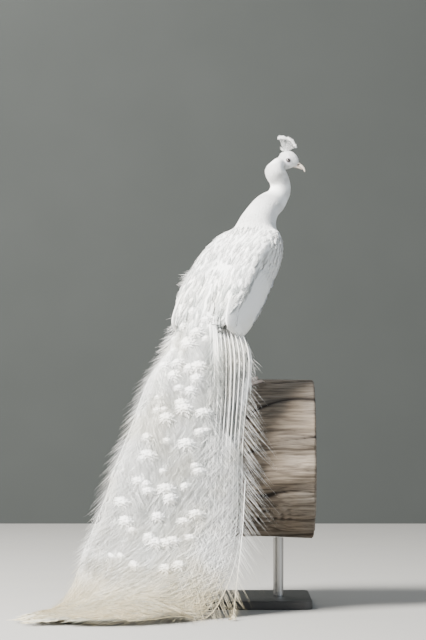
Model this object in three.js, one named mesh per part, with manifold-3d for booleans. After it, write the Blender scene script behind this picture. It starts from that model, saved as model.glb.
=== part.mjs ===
// A white peacock perched on a cut length of tree trunk that stands on a plain display base.
// Units are millimetres and +Z is up. The bird faces +Y, so its right side is +X. The origin is on
// the floor, directly under the point midway between its feet.
//
// The flesh is modelled whole as lofts along curved spines and parted with thin cuts, so that each
// part meets its neighbour face to face. Every other piece is cut back from what it rests on.

import * as THREE from "three";
import { mergeVertices } from "three/addons/utils/BufferGeometryUtils.js";
import Module from "manifold-3d";

const wasm = await Module();
wasm.setup();

const DEG = Math.PI / 180;
const GAP = 0.3; // left between neighbouring solids
const SIDES = [
  ["left", -1],
  ["right", 1],
];

// ---------------------------------------------------------------- driving dimensions

const PERCH = {
  crest: 700, // height of the trunk's top above the floor
  radius: 250,
  length: 480,
  centre: [-34, 47], // its middle lies a little ahead of the feet
  turn: 36, // its axis is turned from the bird's right side towards its front
};
const BASE = { length: 460, width: 400, thick: 26, corner: 24, bevel: 3 };
const ROD = { radius: 16, spread: 130 }; // two rods, this far either side of the middle

const BODY = { centre: [45, 1054], pitch: 43 }; // y and z of the trunk's middle, and its slope
const STANCE = 45; // each foot's distance from the middle
const FOOT_TURN = -18; // both feet are turned to the bird's left, squarer to the perch
const HEAD = { at: [34, 223, 1386], turn: 54, dip: 13 }; // head turned to the bird's right
const EYE_RADIUS = 6.6;
const CREST = { feathers: 12, length: 57, back: -40, front: 56, thick: 2.6 };
const TOES = [
  // name, direction outward from straight ahead, length without the claw, radius at the root
  ["middle", 4, 70, 6.4],
  ["inner", -32, 48, 5.8],
  ["outer", 36, 50, 5.6],
  ["hind", 172, 21, 4.6],
];
const CLAW = { length: 15, radius: 3.2, drop: 5 };
const SPUR = { height: 52, length: 19, radius: 5 };

// ---------------------------------------------------------------- materials

const finish = (color, roughness) => new THREE.MeshStandardMaterial({ color, roughness, metalness: 0 });
const PLUMAGE = finish("#f1f1ec", 0.8);
const TRAIN_PLUMAGE = finish("#ece9df", 0.85);
const BILL = finish("#e3cfc0", 0.45);
const EYE = finish("#14110f", 0.08);
const LEG = finish("#c9b3a1", 0.6);
const CLAW_HORN = finish("#a99a86", 0.4);
const WOOD = finish("#8c7f6e", 0.9);
const STAND = finish("#2c2b2a", 0.5);

// ---------------------------------------------------------------- solids

// A closed geometry as a manifold solid, turned right side out.
function solid(geometry) {
  const bare = new THREE.BufferGeometry();
  bare.setAttribute("position", geometry.getAttribute("position").clone());
  if (geometry.index) bare.setIndex(geometry.index.clone());
  const merged = mergeVertices(bare, 1e-3);
  const points = merged.getAttribute("position");
  const faces = new Uint32Array(merged.index.array);
  const [a, b, c] = [new THREE.Vector3(), new THREE.Vector3(), new THREE.Vector3()];
  let volume = 0;
  for (let i = 0; i < faces.length; i += 3) {
    a.fromBufferAttribute(points, faces[i]);
    b.fromBufferAttribute(points, faces[i + 1]);
    c.fromBufferAttribute(points, faces[i + 2]);
    volume += a.dot(b.cross(c));
  }
  if (volume < 0) {
    for (let i = 0; i < faces.length; i += 3) {
      [faces[i + 1], faces[i + 2]] = [faces[i + 2], faces[i + 1]];
    }
  }
  const vertProperties = new Float32Array(points.array);
  return new wasm.Manifold(new wasm.Mesh({ numProp: 3, vertProperties, triVerts: faces }));
}

// The largest body of a solid: a cut can leave slivers beside it.
function largest(cut) {
  return cut.decompose().reduce((a, b) => (b.volume() > a.volume() ? b : a));
}

function mesh(name, made, material) {
  const { numProp, numVert, vertProperties, triVerts } = largest(made).getMesh();
  const points = new Float32Array(numVert * 3);
  for (let i = 0; i < numVert; i++) {
    points.set(vertProperties.subarray(i * numProp, i * numProp + 3), i * 3);
  }
  const geometry = new THREE.BufferGeometry();
  geometry.setAttribute("position", new THREE.BufferAttribute(points, 3));
  geometry.setIndex(new THREE.BufferAttribute(new Uint32Array(triVerts), 1));
  geometry.computeVertexNormals();
  const made3 = new THREE.Mesh(geometry, material);
  made3.name = name;
  return made3;
}

const join = (...parts) => parts.reduce((a, b) => a.add(b));
const without = (whole, ...tools) => tools.reduce((a, b) => a.subtract(b), whole);

// Parts a solid at the plane through `point` facing `normal`, with the usual gap between the halves.
function partAt(whole, point, normal) {
  const n = new THREE.Vector3(...normal).normalize();
  const offset = n.dot(new THREE.Vector3(...point));
  const beyond = whole.trimByPlane(n.toArray(), offset + GAP / 2);
  const before = whole.trimByPlane(n.clone().negate().toArray(), -offset + GAP / 2);
  return [before, beyond];
}

// A closed skin over a list of rings that all have as many points.
function skin(rings) {
  const count = rings[0].length;
  const points = rings.flat();
  const middle = (ring) =>
    ring.reduce((sum, p) => sum.add(p), new THREE.Vector3()).divideScalar(ring.length);
  points.push(middle(rings[0]), middle(rings.at(-1)));
  const [first, last] = [points.length - 2, points.length - 1];
  const faces = [];
  for (let j = 0; j < count; j++) {
    const k = (j + 1) % count;
    for (let i = 0; i + 1 < rings.length; i++) {
      const [p, q] = [i * count, (i + 1) * count];
      faces.push(p + j, q + k, p + k, p + j, q + j, q + k);
    }
    const end = (rings.length - 1) * count;
    faces.push(first, j, k, last, end + k, end + j);
  }
  const geometry = new THREE.BufferGeometry().setFromPoints(points);
  geometry.setIndex(faces);
  return solid(geometry);
}

// A value of the stations at t from 0 to 1, on a smooth curve through them.
function along(stations, key, t, otherwise = 0) {
  const last = stations.length - 1;
  const value = (i) => stations[Math.max(0, Math.min(last, i))][key] ?? otherwise;
  const i = Math.min(last - 1, Math.floor(t * last));
  const f = t * last - i;
  const slope = (k) => (value(k + 1) - value(k - 1)) / 2;
  const h = f * f * (3 - 2 * f);
  const bend = (f ** 3 - 2 * f ** 2 + f) * slope(i) + (f ** 3 - f ** 2) * slope(i + 1);
  return value(i) * (1 - h) + value(i + 1) * h + bend;
}

// Rings round a spine through the stations. `wide` is the half width, `above` and `below` the half
// depths, `turn` swings the side axis from +X away from +Y, `roll` turns the section about the
// spine, `sag` drops its two side edges, `curl` and `tuck` draw its top and bottom edges in, and a
// `square` under 1 fills out its corners.
function spineRings(stations, { rings, sides, grow = 0, reach = null, square = 1 }) {
  const spine = new THREE.CatmullRomCurve3(stations.map((s) => new THREE.Vector3(...s.at)));
  const at = (t) => {
    const middle = spine.getPoint(t);
    const ahead = spine.getTangent(t);
    const turn = along(stations, "turn", t) * DEG;
    const roll = along(stations, "roll", t) * DEG;
    const level = new THREE.Vector3(Math.cos(turn), -Math.sin(turn), 0);
    const up = level.clone().cross(ahead).normalize();
    const side = ahead.clone().cross(up);
    const rolledSide = side.clone().multiplyScalar(Math.cos(roll)).addScaledVector(up, Math.sin(roll));
    const rolledUp = up.multiplyScalar(Math.cos(roll)).addScaledVector(side, -Math.sin(roll));
    return { middle, side: rolledSide, up: rolledUp };
  };
  return Array.from({ length: rings + 1 }, (_, i) =>
    Array.from({ length: sides }, (_, j) => {
      const angle = (2 * Math.PI * (j + 0.5)) / sides;
      const t = reach ? reach(i / rings, Math.cos(angle)) : i / rings;
      const corner = along(stations, "square", t, square);
      const boxed = (x) => Math.sign(x) * Math.abs(x) ** corner;
      const [c, s] = [boxed(Math.cos(angle)), boxed(Math.sin(angle))];
      const { middle, side, up } = at(t);
      const wide = along(stations, "wide", t) + grow;
      const deep = along(stations, s > 0 ? "above" : "below", t) + grow;
      const across = wide * c - along(stations, s > 0 ? "curl" : "tuck", t) * s * s;
      const over = deep * s - along(stations, "sag", t) * c * c;
      return middle.addScaledVector(side, across).addScaledVector(up, over);
    }),
  );
}
const loft = (stations, options) => skin(spineRings(stations, options));

// A point of the trunk's own frame: along its axis, towards its back, and to the bird's right.
function bodyPoint(axial, dorsal, right = 0) {
  const [c, s] = [Math.cos(BODY.pitch * DEG), Math.sin(BODY.pitch * DEG)];
  return [right, BODY.centre[0] + axial * c - dorsal * s, BODY.centre[1] + axial * s + dorsal * c];
}

// ---------------------------------------------------------------- the display stand and perch

const perchTurn = new THREE.Matrix4()
  .makeRotationZ(PERCH.turn * DEG)
  .setPosition(...PERCH.centre, PERCH.crest - PERCH.radius);

// The weathered trunk's radius at an angle round it and a place along it: shallow lobes and
// furrows that fade out over the top, where the bird stands.
function barkRadius(angle, place) {
  const fade = 1 - Math.max(0, Math.sin(angle)) ** 6;
  const twist = angle + place * 0.0006;
  const lobes = 0.035 * Math.sin(2 * twist + 0.6) + 0.025 * Math.sin(5 * twist + 2);
  const furrows = 0.018 * Math.sin(13 * twist + 1) + 0.012 * Math.sin(19 * twist + place * 0.004);
  return PERCH.radius * (1 + fade * (lobes + furrows - 0.02));
}

// Height of the trunk's top surface over a point of the floor.
function perchHeight(x, y) {
  const turn = PERCH.turn * DEG;
  const [dx, dy] = [x - PERCH.centre[0], y - PERCH.centre[1]];
  const place = dx * Math.cos(turn) + dy * Math.sin(turn);
  const across = -dx * Math.sin(turn) + dy * Math.cos(turn);
  const angle = Math.acos(Math.max(-1, Math.min(1, across / PERCH.radius)));
  const radius = barkRadius(angle, place);
  return PERCH.crest - PERCH.radius + Math.sqrt(Math.max(0, radius ** 2 - across ** 2));
}

function perchSolid(grow = 0) {
  const [rings, sides] = [3, 48];
  const made = Array.from({ length: rings + 1 }, (_, i) => {
    const place = (i / rings - 0.5) * (PERCH.length + 2 * grow);
    return Array.from({ length: sides }, (_, j) => {
      const angle = (2 * Math.PI * j) / sides;
      const radius = barkRadius(angle, place) + grow;
      return new THREE.Vector3(place, radius * Math.cos(angle), radius * Math.sin(angle));
    });
  });
  return skin(made.map((ring) => ring.map((p) => p.applyMatrix4(perchTurn))));
}

function baseSolid() {
  const { length, width, thick, corner, bevel } = BASE;
  const [x, y] = [length / 2 - bevel, width / 2 - bevel];
  const plan = new THREE.Shape();
  plan.moveTo(-x + corner, -y);
  plan.lineTo(x - corner, -y);
  plan.absarc(x - corner, -y + corner, corner, -Math.PI / 2, 0);
  plan.absarc(x - corner, y - corner, corner, 0, Math.PI / 2);
  plan.absarc(-x + corner, y - corner, corner, Math.PI / 2, Math.PI);
  plan.absarc(-x + corner, -y + corner, corner, Math.PI, 1.5 * Math.PI);
  const plate = new THREE.ExtrudeGeometry(plan, {
    depth: thick - 2 * bevel,
    bevelThickness: bevel,
    bevelSize: bevel,
    bevelSegments: 1,
    curveSegments: 3,
  });
  plate.translate(0, 0, bevel);
  plate.rotateZ(PERCH.turn * DEG);
  plate.translate(...PERCH.centre, 0);
  return solid(plate);
}

function rodSolid(place) {
  const low = BASE.thick + GAP;
  const high = PERCH.crest - PERCH.radius;
  const rod = new THREE.CylinderGeometry(ROD.radius, ROD.radius, high - low, 20);
  rod.rotateX(Math.PI / 2);
  rod.translate(place, 0, (high + low) / 2);
  rod.rotateZ(PERCH.turn * DEG);
  rod.translate(...PERCH.centre, 0);
  return solid(rod);
}

// ---------------------------------------------------------------- flesh and plumage

const TRUNK = [
  { at: bodyPoint(-215, 0), wide: 24, above: 20, below: 26 },
  { at: bodyPoint(-165, 0), wide: 60, above: 52, below: 58 },
  { at: bodyPoint(-90, 2), wide: 88, above: 78, below: 82 },
  { at: bodyPoint(0, 4), wide: 99, above: 88, below: 94 },
  { at: bodyPoint(80, 6), wide: 95, above: 82, below: 90 },
  { at: bodyPoint(136, 12), wide: 72, above: 62, below: 68 },
  { at: bodyPoint(172, 22), wide: 34, above: 28, below: 40 },
];

const NECK = [
  { at: [0, 66, 1112], wide: 84, above: 70, below: 78 },
  { at: [0, 92, 1152], wide: 76, above: 70, below: 74 },
  { at: [0, 113, 1190], wide: 63, above: 64, below: 63 },
  { at: [5, 149, 1235], wide: 51, above: 52, below: 50 },
  { at: [14, 200, 1272], wide: 41, above: 41, below: 42, turn: 10 },
  { at: [20, 217, 1305], wide: 36, above: 38, below: 39, turn: 28 },
  { at: [20, 199, 1334], wide: 33, above: 37, below: 37, turn: 44 },
  { at: [20, 179, 1357], wide: 29, above: 34, below: 35, turn: 52 },
  { at: [24, 184, 1375], wide: 25, above: 24, below: 28, turn: 54 },
  { at: [30, 198, 1390], wide: 18, above: 18, below: 20, turn: 54 },
];

// The head and bill are built looking along +Y about the point between the eyes, then placed.
const headPlace = new THREE.Matrix4()
  .makeRotationFromEuler(new THREE.Euler(-HEAD.dip * DEG, 0, -HEAD.turn * DEG, "ZXY"))
  .setPosition(...HEAD.at);
const inHead = (stations) =>
  stations.map((s) => ({
    ...s,
    turn: HEAD.turn + (s.turn ?? 0),
    at: new THREE.Vector3(...s.at).applyMatrix4(headPlace).toArray(),
  }));

const SKULL = inHead([
  { at: [0, -42, -10], wide: 11, above: 12, below: 12 },
  { at: [0, -31, -1], wide: 19, above: 13, below: 22 },
  { at: [0, -16, 4], wide: 23, above: 24, below: 30 },
  { at: [0, 0, 5], wide: 24, above: 32, below: 30 },
  { at: [0, 14, 4], wide: 21, above: 31, below: 24 },
  { at: [0, 26, 2], wide: 15, above: 23, below: 15 },
  { at: [0, 35, -1], wide: 9, above: 11, below: 10 },
]);
const UPPER_BILL = inHead([
  { at: [0, 24, 2], wide: 9.5, above: 10, below: 7 },
  { at: [0, 34, 1], wide: 9, above: 9.5, below: 6.5 },
  { at: [0, 42, -1], wide: 7.6, above: 8, below: 5 },
  { at: [0, 50, -3.5], wide: 6, above: 6.6, below: 4 },
  { at: [0, 57, -7.5], wide: 4.2, above: 5, below: 3 },
  { at: [0, 62, -13], wide: 2, above: 2.6, below: 2 },
  { at: [0, 63.5, -17], wide: 0.8, above: 1, below: 0.8 },
]);
const LOWER_BILL = inHead([
  { at: [0, 22, -8.5], wide: 8.6, above: 4, below: 4.5 },
  { at: [0, 34, -8.6], wide: 7, above: 3.8, below: 3.8 },
  { at: [0, 45, -9.4], wide: 5, above: 3, below: 3 },
  { at: [0, 54, -11.6], wide: 1.8, above: 1.2, below: 1.2 },
]);

// Folded wings, from the tip beside the train up to the shoulder. Each is a shell that leans over
// the back and tucks in under the body.
const wing = (sign) =>
  [
    { at: bodyPoint(-306, -10, 102), wide: 4, above: 22, below: 26, roll: 4 },
    { at: bodyPoint(-280, -1, 107), wide: 7, above: 45, below: 52, roll: 4, curl: 4, tuck: 2 },
    { at: bodyPoint(-228, 7, 109), wide: 9, above: 61, below: 64, roll: 5, curl: 10, tuck: 4 },
    { at: bodyPoint(-140, 11, 108), wide: 12, above: 66, below: 67, roll: 6, curl: 15, tuck: 10 },
    { at: bodyPoint(-55, 14, 108), wide: 14, above: 70, below: 68, roll: 5, curl: 14, tuck: 20 },
    { at: bodyPoint(20, 26, 108), wide: 15, above: 60, below: 72, roll: 3, curl: 10, tuck: 26 },
    { at: bodyPoint(76, 42, 102), wide: 14, above: 40, below: 58, roll: 3, curl: 7, tuck: 20 },
    { at: bodyPoint(114, 50, 88), wide: 9, above: 18, below: 24, roll: 2, curl: 2, tuck: 4 },
  ].map(({ at, wide, above, below, roll, curl = 0, tuck = 0 }) => ({
    at: [sign * at[0], at[1], at[2]],
    wide,
    above,
    below,
    roll: sign * roll,
    curl: sign * curl,
    tuck: sign * tuck,
  }));

// The train from its tips on the floor up to its root over the lower back.
const TRAIN = [
  { at: [-165, -893, 6], wide: 50, above: 5, below: 8, turn: 20 },
  { at: [-104, -742, 12], wide: 156, above: 9, below: 14, sag: 2, turn: 12 },
  { at: [-55, -585, 22], wide: 222, above: 15, below: 24, sag: 4, turn: 2 },
  { at: [-34, -466, 62], wide: 242, above: 22, below: 18, sag: 10, turn: -16 },
  { at: [-12, -392, 150], wide: 230, above: 28, below: 20, sag: 14, turn: -28 },
  { at: [0, -340, 270], wide: 218, above: 32, below: 20, sag: 14, turn: -35 },
  { at: [4, -307, 400], wide: 200, above: 36, below: 20, sag: 14, turn: -36 },
  { at: [8, -270, 530], wide: 176, above: 40, below: 22, sag: 18, turn: -33 },
  { at: [8, -234, 650], wide: 166, above: 46, below: 28, sag: 34, turn: -24 },
  { at: [2, -194, 765], wide: 162, above: 52, below: 36, sag: 50, turn: -8 },
  { at: [-14, -148, 865], wide: 128, above: 54, below: 44, sag: 44, square: 0.9 },
  { at: [-4, -96, 950], wide: 102, above: 54, below: 46, sag: 16, square: 0.78 },
  { at: [0, -46, 1020], wide: 90, above: 54, below: 40, sag: 4, square: 0.7 },
  { at: [0, -14, 1060], wide: 60, above: 30, below: 24, square: 0.8 },
];

// The stiff tail feathers that prop the train from beneath.
const TAIL = [
  { at: [6, -222, 592], wide: 112, above: 3, below: 3, sag: 3, turn: -35 },
  { at: [4, -198, 665], wide: 108, above: 5, below: 5, sag: 4, turn: -28 },
  { at: [2, -160, 755], wide: 84, above: 7, below: 7, sag: 6, turn: -14 },
  { at: [0, -110, 845], wide: 46, above: 10, below: 10, sag: 2 },
  { at: [0, -66, 905], wide: 26, above: 12, below: 12 },
];

const thigh = (sign) => [
  { at: [sign * (STANCE + 2), -46, 826], wide: 12, above: 12, below: 13 },
  { at: [sign * (STANCE + 3), -34, 850], wide: 17, above: 18, below: 20 },
  { at: [sign * (STANCE + 4), -8, 890], wide: 27, above: 34, below: 32 },
  { at: [sign * (STANCE + 2), 20, 940], wide: 36, above: 48, below: 42 },
  { at: [sign * (STANCE - 3), 46, 995], wide: 28, above: 40, below: 34 },
];

// ---------------------------------------------------------------- building

const bird = new THREE.Group();
const add = (name, made, material) => bird.add(mesh(name, made, material));

const TRUNK_GRID = { rings: 11, sides: 22, square: 0.88 };
const trunkWhole = loft(TRUNK, TRUNK_GRID);
const trunkKeepOut = loft(TRUNK, { ...TRUNK_GRID, grow: GAP });
const NECK_GRID = { rings: 12, sides: 14 };
const neckWhole = loft(NECK, NECK_GRID);
const neckKeepOut = loft(NECK, { ...NECK_GRID, grow: GAP });
const SKULL_GRID = { rings: 7, sides: 14 };

// Eyes, then the two halves of the bill, each with room round it in the head.
const eyeAt = (sign) => new THREE.Vector3(sign * 18.4, 4, 6).applyMatrix4(headPlace);
const ball = (centre, radius) =>
  solid(new THREE.IcosahedronGeometry(radius, 1).translate(...centre.toArray()));
const eyes = SIDES.map(([side, sign]) => [side, ball(eyeAt(sign), EYE_RADIUS)]);
const eyeRoom = SIDES.map(([, sign]) => ball(eyeAt(sign), EYE_RADIUS + GAP));
const BILL_GRID = { rings: 7, sides: 10 };
const lowerBill = loft(LOWER_BILL, BILL_GRID);
const upperBill = without(loft(UPPER_BILL, BILL_GRID), loft(LOWER_BILL, { ...BILL_GRID, grow: GAP }));
const billRoom = [UPPER_BILL, LOWER_BILL].map((s) => loft(s, { ...BILL_GRID, grow: GAP }));

// The flesh whole, then parted into trunk, two lengths of neck, and head.
const flesh = join(trunkWhole, neckWhole, loft(SKULL, SKULL_GRID));
const neckBase = [0, 113, 1190];
const neckMiddle = [12, 196, 1268];
const neckTop = [20, 182, 1356];
const [trunkPart, aboveTrunk] = partAt(flesh, neckBase, [0, 0.55, 0.84]);
const [neckLower, aboveMiddle] = partAt(aboveTrunk, neckMiddle, [0.1, 0.6, 0.8]);
const [neckUpper, headPart] = partAt(aboveMiddle, neckTop, [0.3, 0.1, 0.95]);

add("trunk", trunkPart, PLUMAGE);
add("neck_lower", neckLower, PLUMAGE);
add("neck_upper", neckUpper, PLUMAGE);
const head = without(headPart, ...eyeRoom, ...billRoom);
add("head", head, PLUMAGE);
for (const [side, eye] of eyes) add(`eye_${side}`, eye, EYE);
add("bill_upper", upperBill, BILL);
add("bill_lower", lowerBill, BILL);

// The crest: a thin upright fan on stalks that widens to a row of rounded feather tips.
function crestSolid() {
  const { feathers, length, back, front, thick } = CREST;
  const root = new THREE.Vector2(-11, 30);
  const swing = (share) => (back + (front - back) * share) * DEG;
  const point = (share, reach) => {
    const angle = swing(share);
    const spread = (share - 0.5) * 9;
    return new THREE.Vector2(root.x + spread + reach * Math.sin(angle), root.y + reach * Math.cos(angle));
  };
  const outline = [point(0, 0), point(0, length * 0.6)];
  for (let i = 0; i < feathers; i++) {
    outline.push(point((i + 0.08) / feathers, length * 0.86));
    outline.push(point((i + 0.32) / feathers, length * 0.98));
    outline.push(point((i + 0.68) / feathers, length * 0.98));
    outline.push(point((i + 0.92) / feathers, length * 0.86));
  }
  outline.push(point(1, length * 0.6), point(1, 0));
  const fan = new THREE.ExtrudeGeometry(new THREE.Shape(outline), { depth: thick, bevelEnabled: false });
  fan.translate(0, 0, -thick / 2);
  // The outline's x runs forward and its y up, so it is stood on edge in the head's own plane.
  fan.applyMatrix4(
    new THREE.Matrix4().makeBasis(
      new THREE.Vector3(0, 1, 0),
      new THREE.Vector3(0, 0, 1),
      new THREE.Vector3(1, 0, 0),
    ),
  );
  fan.applyMatrix4(headPlace);
  return solid(fan);
}
const headKeepOut = loft(SKULL, { ...SKULL_GRID, grow: GAP });
add("crest", without(crestSolid(), headKeepOut, neckKeepOut), PLUMAGE);

// Wings lie on the trunk, and the train lies over both.
const WING_GRID = { rings: 10, sides: 14 };
const wingKeepOut = [];
for (const [side, sign] of SIDES) {
  add(`wing_${side}`, without(loft(wing(sign), WING_GRID), trunkKeepOut, neckKeepOut), PLUMAGE);
  wingKeepOut.push(loft(wing(sign), { ...WING_GRID, grow: GAP }));
}

// The tips' outline: each feather ends in its own point, and the outer ones stop sooner.
const TIPS = { feathers: 6, deep: 0.035, outer: 0.12 };
const trainReach = (t, across) => {
  const tooth = Math.abs(Math.sin((TIPS.feathers * Math.PI * (across + 1)) / 2));
  const short = TIPS.deep * (1 - tooth) + TIPS.outer * Math.max(0, across) ** 2;
  return t + short * (1 - t) ** 6;
};
const TRAIN_GRID = { rings: 19, sides: 24, reach: trainReach };
const TAIL_GRID = { rings: 6, sides: 14 };
const tailWhole = loft(TAIL, TAIL_GRID);
const tailKeepOut = loft(TAIL, { ...TAIL_GRID, grow: GAP });
const trainAboveFloor = loft(TRAIN, TRAIN_GRID).trimByPlane([0, 0, 1], 0);
const trainWhole = without(trainAboveFloor, trunkKeepOut, ...wingKeepOut, tailKeepOut);
const [trainHanging, trainUpper] = partAt(trainWhole, [8, -250, 590], [0, 0.3, 0.95]);
const [trainLower, trainMiddle] = partAt(trainHanging, [-12, -390, 155], [0, 0.35, 0.94]);
add("tail", without(tailWhole, trunkKeepOut, ...wingKeepOut), PLUMAGE);
add("train_upper", trainUpper, TRAIN_PLUMAGE);
add("train_middle", trainMiddle, TRAIN_PLUMAGE);
add("train_lower", trainLower, TRAIN_PLUMAGE);

// Legs: a feathered thigh, a bare shank with its spur, and a foot whose toes follow the bark.
const perchKeepOut = perchSolid(GAP);
const SHANK_GRID = { rings: 7, sides: 8 };
const TOE_GRID = { rings: 4, sides: 6 };
const HORN_GRID = { rings: 4, sides: 6 };
const clawSolid = (at, heading) => {
  const ahead = new THREE.Vector3(Math.sin(heading), Math.cos(heading), 0);
  const stations = [0, 0.5, 1].map((t) => ({
    at: at.clone().addScaledVector(ahead, CLAW.length * t).setZ(at.z - CLAW.drop * t * t).toArray(),
    wide: CLAW.radius * (1 - 0.85 * t),
    above: CLAW.radius * (1 - 0.85 * t),
    below: CLAW.radius * (1 - 0.85 * t),
    turn: heading / DEG,
  }));
  return loft(stations, HORN_GRID);
};
for (const [side, sign] of SIDES) {
  const foot = [sign * STANCE, 0];
  const sole = perchHeight(...foot);
  const shankStations = [
    { at: [...foot, sole + 12], wide: 10, above: 9, below: 9 },
    { at: [sign * (STANCE + 0.5), -9, sole + 38], wide: 6.6, above: 8, below: 8 },
    { at: [sign * (STANCE + 1.5), -32, sole + 95], wide: 6.6, above: 8, below: 8.5 },
    { at: [sign * (STANCE + 2), -46, sole + 128], wide: 9.5, above: 11.5, below: 11.5 },
    { at: [sign * (STANCE + 2), -44, sole + 150], wide: 6, above: 7, below: 7 },
  ];
  const shank = loft(shankStations, SHANK_GRID);
  const shankKeepOut = loft(shankStations, { ...SHANK_GRID, grow: GAP });
  const spurRoot = new THREE.Vector3(sign * (STANCE - 4), -16, sole + SPUR.height);
  const spurStations = [0, 0.5, 1].map((t) => ({
    at: [
      spurRoot.x - sign * SPUR.length * 0.45 * t,
      spurRoot.y - SPUR.length * t,
      spurRoot.z + 3 * t * t,
    ],
    wide: SPUR.radius * (1 - 0.86 * t),
    above: SPUR.radius * (1 - 0.86 * t),
    below: SPUR.radius * (1 - 0.86 * t),
  }));
  const toes = [];
  const toeRoom = [];
  const claws = [];
  for (const [toe, outward, length, radius] of TOES) {
    const heading = (FOOT_TURN + sign * outward) * DEG;
    const stations = [0, 0.3, 0.65, 1].map((t) => {
      const [x, y] = [foot[0] + Math.sin(heading) * length * t, foot[1] + Math.cos(heading) * length * t];
      const thick = radius * (1.1 - 0.32 * t);
      return {
        at: [x, y, perchHeight(x, y) + thick * 0.86],
        wide: thick,
        above: thick,
        below: thick,
        turn: heading / DEG,
      };
    });
    toes.push(loft(stations, TOE_GRID));
    toeRoom.push(loft(stations, { ...TOE_GRID, grow: GAP }));
    const tip = new THREE.Vector3(...stations.at(-1).at).setZ(stations.at(-1).at[2] + 0.6);
    claws.push([toe, clawSolid(tip, heading)]);
  }
  add(`shank_${side}`, without(shank, perchKeepOut), LEG);
  add(`foot_${side}`, without(join(...toes), perchKeepOut, shankKeepOut), LEG);
  add(`spur_${side}`, without(loft(spurStations, HORN_GRID), shankKeepOut), CLAW_HORN);
  for (const [toe, made] of claws) {
    add(`claw_${side}_${toe}`, without(made, perchKeepOut, ...toeRoom), CLAW_HORN);
  }
  const thighWhole = loft(thigh(sign), { rings: 7, sides: 14 });
  add(`thigh_${side}`, without(thighWhole, trunkKeepOut, shankKeepOut, ...wingKeepOut, tailKeepOut), PLUMAGE);
}

// The stand: base, two rods, and the length of trunk that they hold.
add("stand_base", baseSolid(), STAND);
[-1, 1].forEach((end, i) => {
  add(`stand_rod_${i + 1}`, without(rodSolid(end * ROD.spread), perchKeepOut), STAND);
});
add("stand_perch", perchSolid(), WOOD);

export default bird;
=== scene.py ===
"""A life-size white peacock on a cut length of trunk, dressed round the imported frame.

Metres, +Z up. The bird faces +Y, so its right side is +X, and the origin is on the floor under the
point midway between its feet. The tables of stations repeat the solids' own, in millimetres. The
skin and each underlay are lofts a little inside the solids, and every feather is a thin closed
vane or barb laid over them from the head towards the tips of the train.
"""

import math

import bpy
import numpy as np
from mathutils import Matrix, Vector
from mathutils.kdtree import KDTree


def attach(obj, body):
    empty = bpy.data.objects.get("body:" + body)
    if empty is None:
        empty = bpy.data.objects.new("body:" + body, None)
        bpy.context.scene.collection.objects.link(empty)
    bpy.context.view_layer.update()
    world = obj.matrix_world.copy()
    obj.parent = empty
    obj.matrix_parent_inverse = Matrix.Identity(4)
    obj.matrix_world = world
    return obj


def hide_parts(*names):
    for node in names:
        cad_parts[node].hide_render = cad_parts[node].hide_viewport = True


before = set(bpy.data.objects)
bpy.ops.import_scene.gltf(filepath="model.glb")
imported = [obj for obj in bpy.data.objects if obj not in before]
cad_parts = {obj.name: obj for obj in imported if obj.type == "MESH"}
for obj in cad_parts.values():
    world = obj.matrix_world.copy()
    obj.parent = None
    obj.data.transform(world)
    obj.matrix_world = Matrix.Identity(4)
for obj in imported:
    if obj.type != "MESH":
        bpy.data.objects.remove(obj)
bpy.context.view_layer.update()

bl_info = {
    "name": "White Peacock",
    "version": (1, 0, 0),
    "blender": (4, 5, 0),
    "location": "View3D > Sidebar > Peacock",
    "description": "Builds the skin, feathers, perch and stand of a life-size white peacock",
    "category": "Object",
}

MM = 0.001
UP = np.array([0, 0, 1])
SEED = 7
BAKE_MAP = "OFBake"
BAKE_PATCH = 0.003  # each feather's patch on the bake map
TRIANGLE_LIMIT = 190_000  # of one piece

# ---------------------------------------------------------------- sizes and colours


def length(name, description, default):
    return bpy.props.FloatProperty(
        name=name, description=description, default=default, min=0.0, unit="LENGTH"
    )


def colour(name, description, default):
    return bpy.props.FloatVectorProperty(
        name=name, description=description, default=default, size=4, min=0.0, max=1.0, subtype="COLOR"
    )


class PeacockSizes(bpy.types.PropertyGroup):
    coat_depth: length("Coat depth", "How far the skin lies under the trunk's feathers", 0.007)
    skin_voxel: length("Skin voxel", "Grain of the body's skin", 0.0042)
    face_voxel: length("Face voxel", "Grain of the head's skin", 0.0009)
    eye_radius: length("Eye radius", "Radius of the eyeball", 0.0066)
    crest_length: length("Crest length", "From the crown to the crest's tips", 0.057)
    train_eye: length("Train eye", "How long the pale eye at a train feather's end is", 0.058)
    barb_gap: length("Barb gap", "Distance between barbs along a train feather", 0.0042)
    barb_width: length("Barb width", "Width of a train feather's barb", 0.0016)
    train_rows: bpy.props.IntProperty(
        name="Train rows", description="Rows of eye feathers down the train", default=21, min=2
    )


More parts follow.
